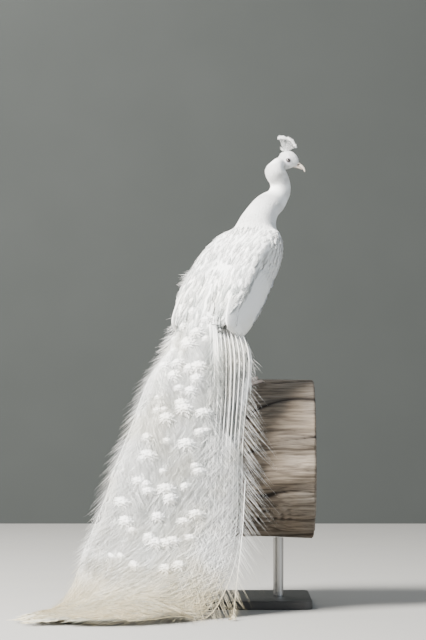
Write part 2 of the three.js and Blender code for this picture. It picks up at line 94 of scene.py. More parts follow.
class PeacockColours(bpy.types.PropertyGroup):
    white: colour("White", "Clean white plumage", (0.93, 0.93, 0.915, 1))
    cream: colour("Cream", "Warmer white over the back and train", (0.83, 0.80, 0.71, 1))
    soiled: colour("Soiled", "Beige of the feather tips that lie on the ground", (0.57, 0.48, 0.29, 1))
    bare_face: colour("Bare face", "Featherless skin round the eye", (0.80, 0.77, 0.80, 1))
    bill: colour("Bill", "Pale pink horn of the bill", (0.85, 0.73, 0.61, 1))
    iris: colour("Iris", "Dark brown of the eye", (0.045, 0.024, 0.014, 1))
    leg: colour("Leg", "Scaled skin of the shanks and toes", (0.60, 0.45, 0.38, 1))
    horn: colour("Horn", "Claws and spurs", (0.42, 0.34, 0.27, 1))
    wood_light: colour("Weathered wood", "Sun-bleached ridges of the trunk", (0.235, 0.188, 0.140, 1))
    # The furrows' own darker wood together with painted shade in them
    furrow_dark_and_shade: colour("Furrows", "Bottoms of the trunk's furrows", (0.016, 0.011, 0.008, 1))
    stand: colour("Stand", "Satin coating of the display base", (0.035, 0.034, 0.033, 1))
    rod: colour("Rods", "Brushed metal of the two rods", (0.52, 0.51, 0.49, 1))
    floor: colour("Floor", "Pale studio floor", (0.31, 0.305, 0.287, 1))
    backdrop: colour("Backdrop", "Plain backdrop", (0.044, 0.049, 0.046, 1))


def sizes():
    return bpy.context.scene.peacock_sizes


def paint(name):
    """One of the colours, as a node's socket takes it."""
    return tuple(getattr(bpy.context.scene.peacock_colours, name))


def rising(x, start, width):
    """0 up to a start, 1 from a width past it, and a straight slope between them."""
    return np.clip((x - start) / width, 0, 1)


def falling(x, end, width):
    """1 up to a width short of an end, 0 past that end, and a straight slope between them."""
    return np.clip((end - x) / width, 0, 1)


# ---------------------------------------------------------------- node trees as Python


class Field:
    """A node's output that takes Python arithmetic: each step adds the Math node that works it out."""

    def __init__(self, nodes, socket):
        self.nodes = nodes
        self.socket = socket

    def other(self, name):
        """Another output of the same node."""
        return Field(self.nodes, pick(self.socket.node.outputs, name))

    def math(self, operation, *values):
        return self.nodes.add("ShaderNodeMath", {"operation": operation}, dict(enumerate(values)))

    def __add__(self, other):
        return self.math("ADD", self, other)

    def __radd__(self, other):
        return self.math("ADD", other, self)

    def __sub__(self, other):
        return self.math("SUBTRACT", self, other)

    def __rsub__(self, other):
        return self.math("SUBTRACT", other, self)

    def __mul__(self, other):
        return self.math("MULTIPLY", self, other)

    def __rmul__(self, other):
        return self.math("MULTIPLY", other, self)

    def __truediv__(self, other):
        return self.math("DIVIDE", self, other)

    def __rtruediv__(self, other):
        return self.math("DIVIDE", other, self)

    def sine(self):
        return self.math("SINE", self)

    def between(self, low, high):
        """A smooth step from 0 at low to 1 at high."""
        settings = {"interpolation_type": "SMOOTHSTEP"}
        values = {"Value": self, "From Min": low, "From Max": high}
        return self.nodes.add("ShaderNodeMapRange", settings, values)


def pick(sockets, key):
    """The socket of that name, or of that place among those that the node's settings leave in use."""
    used = [socket for socket in sockets if socket.enabled]
    return used[key] if isinstance(key, int) else next(s for s in used if s.name == key)


class Nodes:
    """Adds nodes to a tree: a node's settings first, then the values or links of its sockets."""

    def __init__(self, tree):
        self.tree = tree

    def add(self, kind, settings=(), inputs=(), output=0):
        node = self.tree.nodes.new(kind)
        for name, value in dict(settings).items():
            setattr(node, name, value)
        for key, value in dict(inputs).items():
            socket = pick(node.inputs, key)
            if isinstance(value, Field):
                self.tree.links.new(value.socket, socket)
            else:
                socket.default_value = value
        return Field(self, pick(node.outputs, output)) if node.outputs else node

    def vector(self, operation, *values):
        return self.add("ShaderNodeVectorMath", {"operation": operation}, dict(enumerate(values)))

    def scaled(self, vector, factor):
        return self.add("ShaderNodeVectorMath", {"operation": "SCALE"}, {"Vector": vector, "Scale": factor})

    def mix(self, factor, first, second):
        """A colour between two."""
        return self.add("ShaderNodeMix", {"data_type": "RGBA"}, {"Factor": factor, "A": first, "B": second})

    def position(self):
        """The place on the object itself."""
        return self.add("ShaderNodeTexCoord", (), (), "Object")

    def height(self, position):
        return self.add("ShaderNodeSeparateXYZ", (), {"Vector": position}, "Z")

    def noise(self, position, scale, detail=3.0, roughness=0.5, distortion=0.0):
        values = {"Vector": position, "Scale": scale, "Detail": detail}
        values.update({"Roughness": roughness, "Distortion": distortion})
        return self.add("ShaderNodeTexNoise", (), values)

    def tone(self, name):
        """A number stored on the mesh."""
        return self.add("ShaderNodeAttribute", {"attribute_name": name}, (), "Fac")

    def carried(self, name, kind="FLOAT_VECTOR"):
        """A value stored on the points or faces that a tree works on."""
        return self.add("GeometryNodeInputNamedAttribute", {"data_type": kind}, {"Name": name})

    def bump(self, height, distance):
        return self.add("ShaderNodeBump", (), {"Height": height, "Distance": distance})

    def surface(self, **values):
        """The shader itself, where a key's underscores stand for the spaces of its socket's name."""
        inputs = {key.replace("_", " "): value for key, value in values.items()}
        shader = self.add("ShaderNodeBsdfPrincipled", (), inputs)
        self.add("ShaderNodeOutputMaterial", (), {"Surface": shader})


def new_material(name):
    made = bpy.data.materials.new(name)
    made.use_nodes = True
    made.node_tree.nodes.clear()
    return made, Nodes(made.node_tree)


# ---------------------------------------------------------------- forms


def ring(x, y, z, wide, above, below, **shape):
    return {"at": (x, y, z), "wide": wide, "above": above, "below": below, **shape}


def unit(vectors):
    size = np.linalg.norm(vectors, axis=-1, keepdims=True)
    return vectors / np.maximum(size, 1e-12)


def through(points, t):
    """Points at t from 0 to 1 on a centripetal curve through the given points."""
    last = len(points) - 1
    i = np.clip(np.floor(t * last).astype(int), 0, last - 1)
    f = (t * last - i)[..., None]
    before = np.vstack([2 * points[0] - points[1], points, 2 * points[-1] - points[-2]])
    p0, p1, p2, p3 = (before[i + k] for k in range(4))
    step = lambda a, b: np.maximum(np.linalg.norm(b - a, axis=-1, keepdims=True), 1e-9) ** 0.5
    d0, d1, d2 = step(p0, p1), step(p1, p2), step(p2, p3)
    out = ((p1 - p0) / d0 - (p2 - p0) / (d0 + d1) + (p2 - p1) / d1) * d1
    into = ((p2 - p1) / d1 - (p3 - p1) / (d1 + d2) + (p3 - p2) / d2) * d1
    square = (3 * p2 - 3 * p1 - 2 * out - into) * f**2
    return p1 + out * f + square + (2 * p1 - 2 * p2 + out + into) * f**3


def walked_along(points):
    """The distance walked to each point of a path."""
    return np.concatenate([[0], np.cumsum(np.linalg.norm(np.diff(points, axis=0), axis=1))])


def round_grid(count, sides, start=0.0, end=1.0):
    """Steps from a start to an end down a column, and angles all the way round along a row."""
    steps = np.linspace(start, end, count)[:, None]
    return steps, np.linspace(0, 2 * math.pi, sides, endpoint=False)[None, :]


class Form:
    """A closed form round a curved spine, with the solids' own stations and rules."""

    KEYS = ("wide", "above", "below", "turn", "roll", "sag", "curl", "tuck", "square")

    def __init__(self, stations, square=1.0):
        self.spine = np.array([station["at"] for station in stations], float)
        usual = {"square": square}
        self.table = {
            key: np.array([station.get(key, usual.get(key, 0.0)) for station in stations], float)
            for key in self.KEYS
        }

    def value(self, key, t):
        """A value of the stations at t, on a smooth curve through them."""
        table = self.table[key]
        last = len(table) - 1
        i = np.clip(np.floor(t * last).astype(int), 0, last - 1)
        f = t * last - i
        at = lambda k: table[np.clip(k, 0, last)]
        slope = lambda k: (at(k + 1) - at(k - 1)) / 2
        h = f * f * (3 - 2 * f)
        bend = (f**3 - 2 * f**2 + f) * slope(i) + (f**3 - f**2) * slope(i + 1)
        return at(i) * (1 - h) + at(i + 1) * h + bend

    def axes(self, t):
        middle = through(self.spine, t)
        step = 1e-3
        beyond = through(self.spine, np.minimum(t + step, 1))
        ahead = unit(beyond - through(self.spine, np.maximum(t - step, 0)))
        turn = np.radians(self.value("turn", t))
        roll = np.radians(self.value("roll", t))[..., None]
        level = np.stack([np.cos(turn), -np.sin(turn), np.zeros_like(turn)], -1)
        up = unit(np.cross(level, ahead))
        side = np.cross(ahead, up)
        return middle, side * np.cos(roll) + up * np.sin(roll), up * np.cos(roll) - side * np.sin(roll)

    def at(self, t, angle, grow=0.0, spread=1.0):
        """Points on the form in metres, grown by some millimetres, with its half width times spread."""
        t, angle = np.broadcast_arrays(np.asarray(t, float), np.asarray(angle, float))
        middle, side, up = self.axes(t)
        corner = self.value("square", t)
        boxed = lambda x: np.sign(x) * np.abs(x) ** corner
        c, s = boxed(np.cos(angle)), boxed(np.sin(angle))
        over = s > 0
        deep = np.where(over, self.value("above", t), self.value("below", t)) + grow
        wide = self.value("wide", t) * spread + grow
        across = wide * c - np.where(over, self.value("curl", t), self.value("tuck", t)) * s**2
        height = deep * s - self.value("sag", t) * c**2
        return (middle + side * across[..., None] + up * height[..., None]) * MM

    def site(self, t, angle, grow=0.0):
        """Points with the directions there: towards t = 0, outwards, and the form's own side axis."""
        t, angle = np.broadcast_arrays(np.asarray(t, float), np.asarray(angle, float))
        point = self.at(t, angle, grow)
        step = 2e-3
        beyond = self.at(np.minimum(t + step, 1), angle, grow)
        lie = unit(self.at(np.maximum(t - step, 0), angle, grow) - beyond)
        round_it = self.at(t, angle + step, grow) - self.at(t, angle - step, grow)
        out = unit(np.cross(round_it, lie))
        middle, side, _ = self.axes(t)
        facing = np.sign(np.sum(out * (point - middle * MM), -1, keepdims=True))
        return point, lie, out * np.where(facing == 0, 1, facing), side

    def rings(self, count, sides, grow=0.0, spread=1.0, start=0.0, end=1.0):
        t, angle = round_grid(count, sides, start, end)
        return self.at(t, angle, grow(t) if callable(grow) else grow, spread)


# ---------------------------------------------------------------- meshes


def shell_faces(count, sides):
    """Triangles of a tube of rings, closed at both ends by strips that also fit an arched ring."""
    i = np.arange(count - 1)[:, None] * sides
    j = np.arange(sides)[None, :]
    k = (j + 1) % sides
    a, b, c, d = i + j, i + k, i + sides + k, i + sides + j
    walls = np.concatenate([np.stack([a, b, c], -1), np.stack([a, c, d], -1)]).reshape(-1, 3)
    order = np.arange(sides)
    zigzag = np.where(order % 2 == 1, (order + 1) // 2, (sides - order // 2) % sides)
    strip = np.stack([zigzag[:-2], zigzag[1:-1], zigzag[2:]], -1)
    strip[1::2] = strip[1::2][:, [0, 2, 1]]
    return np.concatenate([walls, strip[:, ::-1], strip + (count - 1) * sides])


class Sheaf:
    """Many small closed shells gathered into one mesh, each with its own patch of the bake map."""

    def __init__(self):
        self.points = []
        self.faces = []
        self.maps = []
        self.tones = {}
        self.count = 0

    def add(self, rings, patch=(0.5, 0.5), **tones):
        count, sides = rings.shape[:2]
        faces = shell_faces(count, sides)
        flat = rings.reshape(-1, 3)
        a, b, c = (flat[faces[:, k]] - flat.mean(0) for k in range(3))
        if np.sum(a * np.cross(b, c)) < 0:
            faces = faces[:, ::-1]
        self.points.append(flat)
        self.faces.append(faces + self.count)
        local = np.stack(
            np.meshgrid(np.linspace(0, 1, count), np.linspace(0, 1, sides), indexing="ij"), -1
        ).reshape(-1, 2)
        self.maps.append(np.asarray(patch) + (local - 0.5) * BAKE_PATCH)
        for name, values in tones.items():
            self.tones.setdefault(name, []).append(np.broadcast_to(values, rings.shape[:2]).ravel())
        self.count += len(flat)

    def mesh(self, name, bake_map=BAKE_MAP):
        points, faces = np.concatenate(self.points), np.concatenate(self.faces)
        made = new_mesh(name, points, faces)
        layer = made.uv_layers.new(name=bake_map)
        layer.data.foreach_set("uv", np.concatenate(self.maps)[faces.ravel()].astype(np.float32).ravel())
        for tone, values in self.tones.items():
            store(made, tone, "FLOAT", np.concatenate(values))
        return made


def single(name, rings, patch=(0.5, 0.5), **tones):
    """A mesh of one closed shell."""
    sheaf = Sheaf()
    sheaf.add(rings, patch, **tones)
    return sheaf.mesh(name)


def new_mesh(name, points, faces):
    made = bpy.data.meshes.new(name)
    made.from_pydata(points, [], faces)
    made.shade_smooth()
    return made


def store(mesh, name, kind, values):
    attribute = mesh.attributes.new(name, kind, "POINT")
    key = "vector" if kind == "FLOAT_VECTOR" else "value"
    attribute.data.foreach_set(key, np.asarray(values, np.float32).ravel())


def new_object(name, data):
    made = bpy.data.objects.new(name, data)
    bpy.context.scene.collection.objects.link(made)
    return made


def keep(name, mesh, finish, replaced=()):
    """Makes a finished piece: it rides on the one body, and may stand for some CAD nodes."""
    mesh.name = name
    mesh.materials.clear()
    mesh.materials.append(finish)
    piece = new_object(name, mesh)
    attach(piece, "root")
    if replaced:
        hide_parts(*replaced)
    return piece


def discard(made):
    """Removes an object together with its mesh."""
    mesh = made.data
    bpy.data.objects.remove(made)
    bpy.data.meshes.remove(mesh)


def evaluated(made):
    """The object's mesh with its modifiers applied, after which the object is removed."""
    depsgraph = bpy.context.evaluated_depsgraph_get()
    mesh = bpy.data.meshes.new_from_object(made.evaluated_get(depsgraph))
    discard(made)
    return mesh


def remeshed(name, shells, voxel, smoothing):
    """One closed skin over several overlapping shells."""
    sheaf = Sheaf()
    for rings in shells:
        sheaf.add(rings)
    made = new_object(name, sheaf.mesh(name))
    grain = made.modifiers.new("Grain", "REMESH")
    grain.mode = "VOXEL"
    grain.voxel_size = voxel
    grain.use_smooth_shade = True
    soft = made.modifiers.new("Soft", "SMOOTH")
    soft.factor = 0.5
    soft.iterations = smoothing
    return evaluated(made)


def search_tree(points):
    tree = KDTree(len(points))
    for index, place in enumerate(points):
        tree.insert(place, index)
    tree.balance()
    return tree


def coordinates(mesh):
    points = np.empty(len(mesh.vertices) * 3, np.float32)
    mesh.vertices.foreach_get("co", points)
    return points.reshape(-1, 3).astype(float)


def move_to(mesh, points):
    mesh.vertices.foreach_set("co", points.astype(np.float32).ravel())
    mesh.update()


# ---------------------------------------------------------------- the bird's forms

BODY_CENTRE = (45, 1054)  # y and z of the trunk's middle
BODY_PITCH = math.radians(43)
STANCE = 45
FOOT_TURN = math.radians(-18)
HEAD_AT = (34, 223, 1386)
HEAD_TURN = 54
HEAD_DIP = 13
EYE_AT = (18.4, 4, 6)  # in the head's frame, for the right eye
NOSTRIL_AT = (6.5, 39.5, 0.5)


def body_point(axial, dorsal, right=0.0):
    c, s = math.cos(BODY_PITCH), math.sin(BODY_PITCH)
    return right, BODY_CENTRE[0] + axial * c - dorsal * s, BODY_CENTRE[1] + axial * s + dorsal * c


HEAD_PLACE = (
    Matrix.Translation(HEAD_AT)
    @ Matrix.Rotation(-math.radians(HEAD_TURN), 4, "Z")
    @ Matrix.Rotation(-math.radians(HEAD_DIP), 4, "X")
)
HEAD_TURNED = np.array(HEAD_PLACE.to_3x3())


def from_head(points):
    """Points of the head's own frame, in millimetres, as points of the bird's frame."""
    return np.asarray(points, float) @ HEAD_TURNED.T + np.array(HEAD_AT)


def to_head(points):
    """Points of the bird's frame, in millimetres, as points of the head's own frame."""
    return (np.asarray(points, float) - np.array(HEAD_AT)) @ HEAD_TURNED


def head_ring(forward, height, wide, above, below):
    x, y, z = from_head((0, forward, height))
    return ring(x, y, z, wide, above, below, turn=HEAD_TURN)


TRUNK = Form(
    [
        ring(*body_point(-215, 0), 24, 20, 26),
        ring(*body_point(-165, 0), 60, 52, 58),
        ring(*body_point(-90, 2), 88, 78, 82),
        ring(*body_point(0, 4), 99, 88, 94),
        ring(*body_point(80, 6), 95, 82, 90),
        ring(*body_point(136, 12), 72, 62, 68),
        ring(*body_point(172, 22), 34, 28, 40),
    ],
    square=0.88,
)
NECK = Form(
    [
        ring(0, 66, 1112, 84, 70, 78),
        ring(0, 92, 1152, 76, 70, 74),
        ring(0, 113, 1190, 63, 64, 63),
        ring(5, 149, 1235, 51, 52, 50),
        ring(14, 200, 1272, 41, 41, 42, turn=10),
        ring(20, 217, 1305, 36, 38, 39, turn=28),
        ring(20, 199, 1334, 33, 37, 37, turn=44),
        ring(20, 179, 1357, 29, 34, 35, turn=52),
        ring(24, 184, 1375, 25, 24, 28, turn=54),
        ring(30, 198, 1390, 18, 18, 20, turn=54),
    ]
)
SKULL = Form(
    [
        head_ring(-42, -10, 11, 12, 12),
        head_ring(-31, -1, 19, 13, 22),
        head_ring(-16, 4, 23, 24, 30),
        head_ring(0, 5, 24, 32, 30),
        head_ring(14, 4, 21, 31, 24),
        head_ring(26, 2, 15, 23, 15),
        head_ring(35, -1, 9, 11, 10),
    ]
)
UPPER_BILL = Form(
    [
        head_ring(24, 2, 9.5, 10, 7),
        head_ring(34, 1, 9, 9.5, 6.5),
        head_ring(42, -1, 7.6, 8, 5),
        head_ring(50, -3.5, 6, 6.6, 4),
        head_ring(57, -7.5, 4.2, 5, 3),
        head_ring(62, -13, 2, 2.6, 2),
        head_ring(63.5, -17, 0.8, 1, 0.8),
    ]
)
LOWER_BILL = Form(
    [
        head_ring(22, -8.5, 8.6, 4, 4.5),
        head_ring(34, -8.6, 7, 3.8, 3.8),
        head_ring(45, -9.4, 5, 3, 3),
        head_ring(54, -11.6, 1.8, 1.2, 1.2),
    ]
)
WING_STATIONS = [
    # axial, dorsal, right, wide, above, below, roll, curl, tuck
    (-306, -10, 102, 4, 22, 26, 4, 0, 0),
    (-280, -1, 107, 7, 45, 52, 4, 4, 2),
    (-228, 7, 109, 9, 61, 64, 5, 10, 4),
    (-140, 11, 108, 12, 66, 67, 6, 15, 10),
    (-55, 14, 108, 14, 70, 68, 5, 14, 20),
    (20, 26, 108, 15, 60, 72, 3, 10, 26),
    (76, 42, 102, 14, 40, 58, 3, 7, 20),
    (114, 50, 88, 9, 18, 24, 2, 2, 4),
]


def wing_form(sign):
    stations = []
    for axial, dorsal, right, wide, above, below, roll, curl, tuck in WING_STATIONS:
        turned = {"roll": sign * roll, "curl": sign * curl, "tuck": sign * tuck}
        place = body_point(axial, dorsal, sign * right)
        stations.append(ring(*place, wide, above, below, **turned))
    return Form(stations)


def thigh_form(sign):
    return Form(
        [
            ring(sign * (STANCE + 2), -46, 826, 12, 12, 13),
            ring(sign * (STANCE + 3), -34, 850, 17, 18, 20),
            ring(sign * (STANCE + 4), -8, 890, 27, 34, 32),
            ring(sign * (STANCE + 2), 20, 940, 36, 48, 42),
            ring(sign * (STANCE - 3), 46, 995, 28, 40, 34),
        ]
    )


SIDES = {"left": -1, "right": 1}
WINGS = {side: wing_form(sign) for side, sign in SIDES.items()}
THIGHS = {side: thigh_form(sign) for side, sign in SIDES.items()}
TRAIN = Form(
    [
        ring(-165, -893, 6, 50, 5, 8, turn=20),
        ring(-104, -742, 12, 156, 9, 14, sag=2, turn=12),
        ring(-55, -585, 22, 222, 15, 24, sag=4, turn=2),
        ring(-34, -466, 62, 242, 22, 18, sag=10, turn=-16),
        ring(-12, -392, 150, 230, 28, 20, sag=14, turn=-28),
        ring(0, -340, 270, 218, 32, 20, sag=14, turn=-35),
        ring(4, -307, 400, 200, 36, 20, sag=14, turn=-36),
        ring(8, -270, 530, 176, 40, 22, sag=18, turn=-33),
        ring(8, -234, 650, 166, 46, 28, sag=34, turn=-24),
        ring(2, -194, 765, 162, 52, 36, sag=50, turn=-8),
        ring(-14, -148, 865, 128, 54, 44, sag=44, square=0.9),
        ring(-4, -96, 950, 102, 54, 46, sag=16, square=0.78),
        ring(0, -46, 1020, 90, 54, 40, sag=4, square=0.7),
        ring(0, -14, 1060, 60, 30, 24, square=0.8),
    ]
)
TAIL = Form(
    [
        ring(6, -222, 592, 112, 3, 3, sag=3, turn=-35),
        ring(4, -198, 665, 108, 5, 5, sag=4, turn=-28),
        ring(2, -160, 755, 84, 7, 7, sag=6, turn=-14),
        ring(0, -110, 845, 46, 10, 10, sag=2),
        ring(0, -66, 905, 26, 12, 12),
    ]
)

# Where each form lies on the bake map: lowest corner and size.
ATLAS = {
    "trunk": ((0.02, 0.02), (0.30, 0.28)),
    "neck": ((0.34, 0.02), (0.24, 0.28)),
    "skull": ((0.60, 0.02), (0.14, 0.14)),
    "thigh_left": ((0.60, 0.18), (0.08, 0.12)),
    "thigh_right": ((0.70, 0.18), (0.08, 0.12)),
    "wing_left": ((0.02, 0.34), (0.30, 0.16)),
    "wing_right": ((0.34, 0.34), (0.30, 0.16)),
    "tail": ((0.68, 0.34), (0.26, 0.16)),
    "train": ((0.02, 0.54), (0.94, 0.42)),
    "crest": ((0.80, 0.02), (0.14, 0.14)),
}


def patch_of(form_name, t, angle):
    """A place on the bake map for a place on a form: round it one way, and along it the other."""
    (u, v), (wide, high) = ATLAS[form_name]
    t, angle = np.broadcast_arrays(np.asarray(t, float), np.asarray(angle, float))
    return np.stack([u + wide * (angle / (2 * math.pi) % 1), v + high * t], -1)


# ---------------------------------------------------------------- plumage


SHADED = (0.37, 0.40, 0.385, 1)  # feathers in the shade of others
COVERED_SHADE = (0.60, 0.60, 0.57, 1)  # painted shade over roots that lie under other feathers, and in the lines between barbs


def tinted_white(nodes, position):
    """The plumage's colour everywhere: white, creamier in patches, and beige where it meets the ground."""
    height = nodes.height(position)
    patches = nodes.noise(position, 7.0, 3.0).between(0.42, 0.66)
    lower_back = 1 - height.between(0.82, 1.16)
    cream = nodes.mix(patches * (lower_back * 0.6 + 0.10), paint("white"), paint("cream"))
    streaks = nodes.noise(position, 21.0, 4.0, 0.6)
    near_ground = 1 - (height + (streaks - 0.5) * 0.16).between(0.02, 0.20)
    return nodes.mix(near_ground * (streaks * 0.9 + 0.55), cream, paint("soiled"))


def plumage(name, grain=900.0, relief=0.0004, sheen=0.25):
    """Soft white feathering: fine barb lines, and a shade where other feathers lie over its root."""
    made, nodes = new_material(name)
    position = nodes.position()
    fine = nodes.noise(position, grain, 2.0)
    lines = (nodes.tone("barb_lines") * math.tau).sine() * 0.5 + 0.5
    # Painted shade over covered roots and in the lines between barbs
    under = nodes.tone("covered") * 0.26 + lines * 0.05
    height = nodes.height(position)
    # Painted shade stored on each feather, kept weaker high on the body, where the light falls more fully
    shade = nodes.tone("shade") * (1 - height.between(0.98, 1.16) * 0.75)
    toned = nodes.mix(shade, tinted_white(nodes, position), SHADED)
    nodes.surface(
        Base_Color=nodes.mix(under, toned, COVERED_SHADE),
        Roughness=fine * 0.15 + 0.66,
        Normal=nodes.bump(fine * 0.6 + lines * 0.7, relief),
        Sheen_Weight=sheen,
        Sheen_Roughness=0.5,
        Specular_IOR_Level=0.25,
    )
    return made


def skin_finish():
    """Down-covered skin that turns to bare, finely wrinkled skin round the eye."""
    made, nodes = new_material("skin")
    position = nodes.position()
    bare = nodes.tone("bare")
    wrinkles = nodes.noise(position, 1400.0, 3.0, 0.6)
    down = nodes.noise(position, 600.0, 3.0)
    spots = nodes.noise(position, 420.0, 2.0).between(0.35, 0.7)
    face = nodes.mix(spots * 0.35, paint("bare_face"), paint("white"))
    margined = nodes.mix(nodes.tone("margin") * 0.95, face, (0.05, 0.042, 0.045, 1))
    nodes.surface(
        Base_Color=nodes.mix(bare, tinted_white(nodes, position), margined),
        Roughness=0.8 - bare * 0.28,
        Normal=nodes.bump(wrinkles * bare + down * (1 - bare), 0.0005),
        Specular_IOR_Level=0.3,
    )
    return made


# ---------------------------------------------------------------- laying feathers


def group_tree(name, sockets):
    """A Geometry Nodes tree with named inputs, its nodes, and its inputs' fields by name."""
    tree = bpy.data.node_groups.new(name, "GeometryNodeTree")
    for label, kind in sockets.items():
        tree.interface.new_socket(name=label, in_out="INPUT", socket_type=f"NodeSocket{kind}")
    tree.interface.new_socket(name="Geometry", in_out="OUTPUT", socket_type="NodeSocketGeometry")
    nodes = Nodes(tree)
    first = nodes.add("NodeGroupInput")
    return tree, nodes, {label: first.other(label) for label in sockets}


def laying_tree():
    """One feather at each point, turned to its aim, with its own patch of the bake map."""
    tree, nodes, given = group_tree(
        "Lay feathers",
        {
            "Points": "Geometry",
            "Feather": "Object",
            "Finish": "Material",
            "Aim": "Vector",
            "Out": "Vector",
            "Size": "Vector",
            "Patch Size": "Float",
        },
    )
    turned = nodes.add(
        "FunctionNodeAxesToRotation",
        {"primary_axis": "X", "secondary_axis": "Z"},
        {"Primary Axis": given["Aim"], "Secondary Axis": given["Out"]},
    )
    feather = nodes.add("GeometryNodeObjectInfo", (), {"Object": given["Feather"]}, "Geometry")
    laid = nodes.add(
        "GeometryNodeInstanceOnPoints",
        (),
        {"Points": given["Points"], "Instance": feather, "Rotation": turned, "Scale": given["Size"]},
    )
    real = nodes.add("GeometryNodeRealizeInstances", (), {"Geometry": laid})
    local = nodes.scaled(nodes.carried("outline"), given["Patch Size"])
    mapped = nodes.add(
        "GeometryNodeStoreNamedAttribute",
        {"data_type": "FLOAT2", "domain": "CORNER"},
        {"Geometry": real, "Name": BAKE_MAP, "Value": nodes.vector("ADD", nodes.carried("patch"), local)},
    )
    for spare in ("outline", "patch", "aim", "out", "size", "share"):
        mapped = nodes.add("GeometryNodeRemoveAttribute", (), {"Geometry": mapped, "Name": spare})
    painted = nodes.add("GeometryNodeSetMaterial", (), {"Geometry": mapped, "Material": given["Finish"]})
    nodes.add("NodeGroupOutput", (), {"Geometry": painted})
    return tree


def shared_tree(name, build):
    """The tree of that name, built when it is first asked for."""
    return bpy.data.node_groups.get(name) or build()


def add_laying(nodes, given, **points):
    """Adds the tree that lays feathers, and ends the tree it is added to."""
    inputs = {name: given[name] for name in ("Feather", "Finish", "Patch Size")}
    settings = {"node_tree": shared_tree("Lay feathers", laying_tree)}
    laid = nodes.add("GeometryNodeGroup", settings, {**inputs, **points})
    nodes.add("NodeGroupOutput", (), {"Geometry": laid})


def rooted_tree():
    """Lays feathers at roots worked out beforehand, whose aim, outward side and size they carry."""
    tree, nodes, given = group_tree(
        "Feathers at roots",
        {"Roots": "Geometry", "Feather": "Object", "Finish": "Material", "Patch Size": "Float"},
    )
    carried = {name.capitalize(): nodes.carried(name) for name in ("aim", "out", "size")}
    add_laying(nodes, given, Points=given["Roots"], **carried)
    return tree


def coat_tree():
    """Scatters feathers evenly over a skin that carries their lie, size and share."""
    tree, nodes, given = group_tree(
        "Coat of feathers",
        {
            "Skin": "Geometry",
            "Feather": "Object",
            "Finish": "Material",
            "Spacing": "Float",
            "Rise": "Float",
            "Unevenness": "Float",
            "Mottling": "Float",
            "Patch Size": "Float",
            "Seed": "Int",
        },
    )
    roots = nodes.add(
        "GeometryNodeDistributePointsOnFaces",
        {"distribute_method": "POISSON"},
        {
            "Mesh": given["Skin"],
            "Distance Min": given["Spacing"],
            "Density Max": 4.0 / (given["Spacing"] * given["Spacing"]),
            "Density Factor": nodes.carried("share", "FLOAT"),
            "Seed": given["Seed"],
        },
    )
    chance = lambda offset: nodes.add(
        "FunctionNodeRandomValue",
        {"data_type": "FLOAT"},
        {"Min": -1.0, "Max": 1.0, "Seed": given["Seed"] + offset},
    )
    # Each feather's painted shade: a random share of the given strength
    roots = nodes.add(
        "GeometryNodeStoreNamedAttribute",
        {"data_type": "FLOAT", "domain": "POINT"},
        {"Geometry": roots, "Name": "shade", "Value": (chance(4) * 0.5 + 0.5) * given["Mottling"]},
    )
    aim, outward = nodes.carried("aim"), nodes.carried("out")
    sway = nodes.scaled(nodes.vector("CROSS_PRODUCT", outward, aim), chance(1) * given["Unevenness"])
    lift = nodes.scaled(outward, given["Rise"] * (chance(2) * 0.5 + 1.0))
    swayed = nodes.vector("ADD", nodes.vector("ADD", aim, sway), lift)
    size = nodes.scaled(nodes.carried("size"), chance(3) * 0.16 + 1.0)
    add_laying(nodes, given, Points=roots, Aim=swayed, Out=outward, Size=size)
    return tree


def grown(tree, mesh, **values):
    """The mesh that a tree makes of another one, with the tree's inputs set by their identifiers."""
    made = new_object("growing", mesh)
    grow = made.modifiers.new("Grow", "NODES")
    grow.node_group = tree
    named = {key.replace("_", " "): value for key, value in values.items()}
    for socket in tree.interface.items_tree:
        if socket.item_type == "SOCKET" and socket.in_out == "INPUT" and socket.name in named:
            grow[socket.identifier] = named[socket.name]
    return evaluated(made)


class Template:
    """A feather of unit size along X that the trees copy, removed when the copying is done."""

    def __init__(self, name, shells, lines=0, shade=1.0):
        sheaf = Sheaf()
        for rings in shells:
            sheaf.add(rings)
        mesh = sheaf.mesh(name, "outline")
        local = np.clip(coordinates(mesh)[:, :2] + (0.0, 0.5), 0, 1) - 0.5
        corner = np.empty(len(mesh.loops), np.int32)
        mesh.loops.foreach_get("vertex_index", corner)
        mesh.uv_layers["outline"].data.foreach_set("uv", local[corner].astype(np.float32).ravel())
        shape = coordinates(mesh)
        # Painted shade over the root, where the feather before lies over it; the shade argument scales it
        store(mesh, "covered", "FLOAT", shade * np.clip(1 - shape[:, 0], 0, 1) ** 1.5)
        store(mesh, "barb_lines", "FLOAT", lines * (shape[:, 0] - 0.9 * np.abs(shape[:, 1])))
        self.triangles = len(mesh.polygons)
        self.object = new_object(name, mesh)

    def __enter__(self):
        return self

    def __exit__(self, *_):
        discard(self.object)


def vane_shell(stations, half_width, thick, rise=0.0, bend=0.0, camber=0.0, round_tip=0.6):
    """A thin closed vane along X: a raised middle, two sharp edges, and a slight curl."""
    x = np.asarray(stations, float)
    outline = half_width * np.sqrt(np.maximum(0, 1 - rising(x, round_tip, 1 - round_tip) ** 2))
    outline = outline * np.minimum(1, 0.35 + 1.6 * x)
    outline = np.maximum(outline, 0.012)
    height = rise * x - bend * x**2
    edge = np.stack([x, outline, height - camber * outline], -1)
    other = np.stack([x, -outline, height - camber * outline], -1)
    top = np.stack([x, 0 * x, height + thick * (1 - 0.6 * x)], -1)
    under = np.stack([x, 0 * x, height - thick * (0.5 - 0.3 * x)], -1)
    return np.stack([edge, top, other, under], 1)


def barb_shell(bend, stations=(0, 0.5, 1), taper=(1, 0.8, 0.15)):
    """A thin closed barb of unit length and width along X that curves towards +Y."""
    x, wide = np.asarray(stations, float), np.asarray(taper, float) / 2
    corners = [(0, 1), (0.87, -0.5), (-0.87, -0.5)]
    return np.stack([np.stack([x, bend * x**2 + a * wide, b * wide], -1) for a, b in corners], 1)


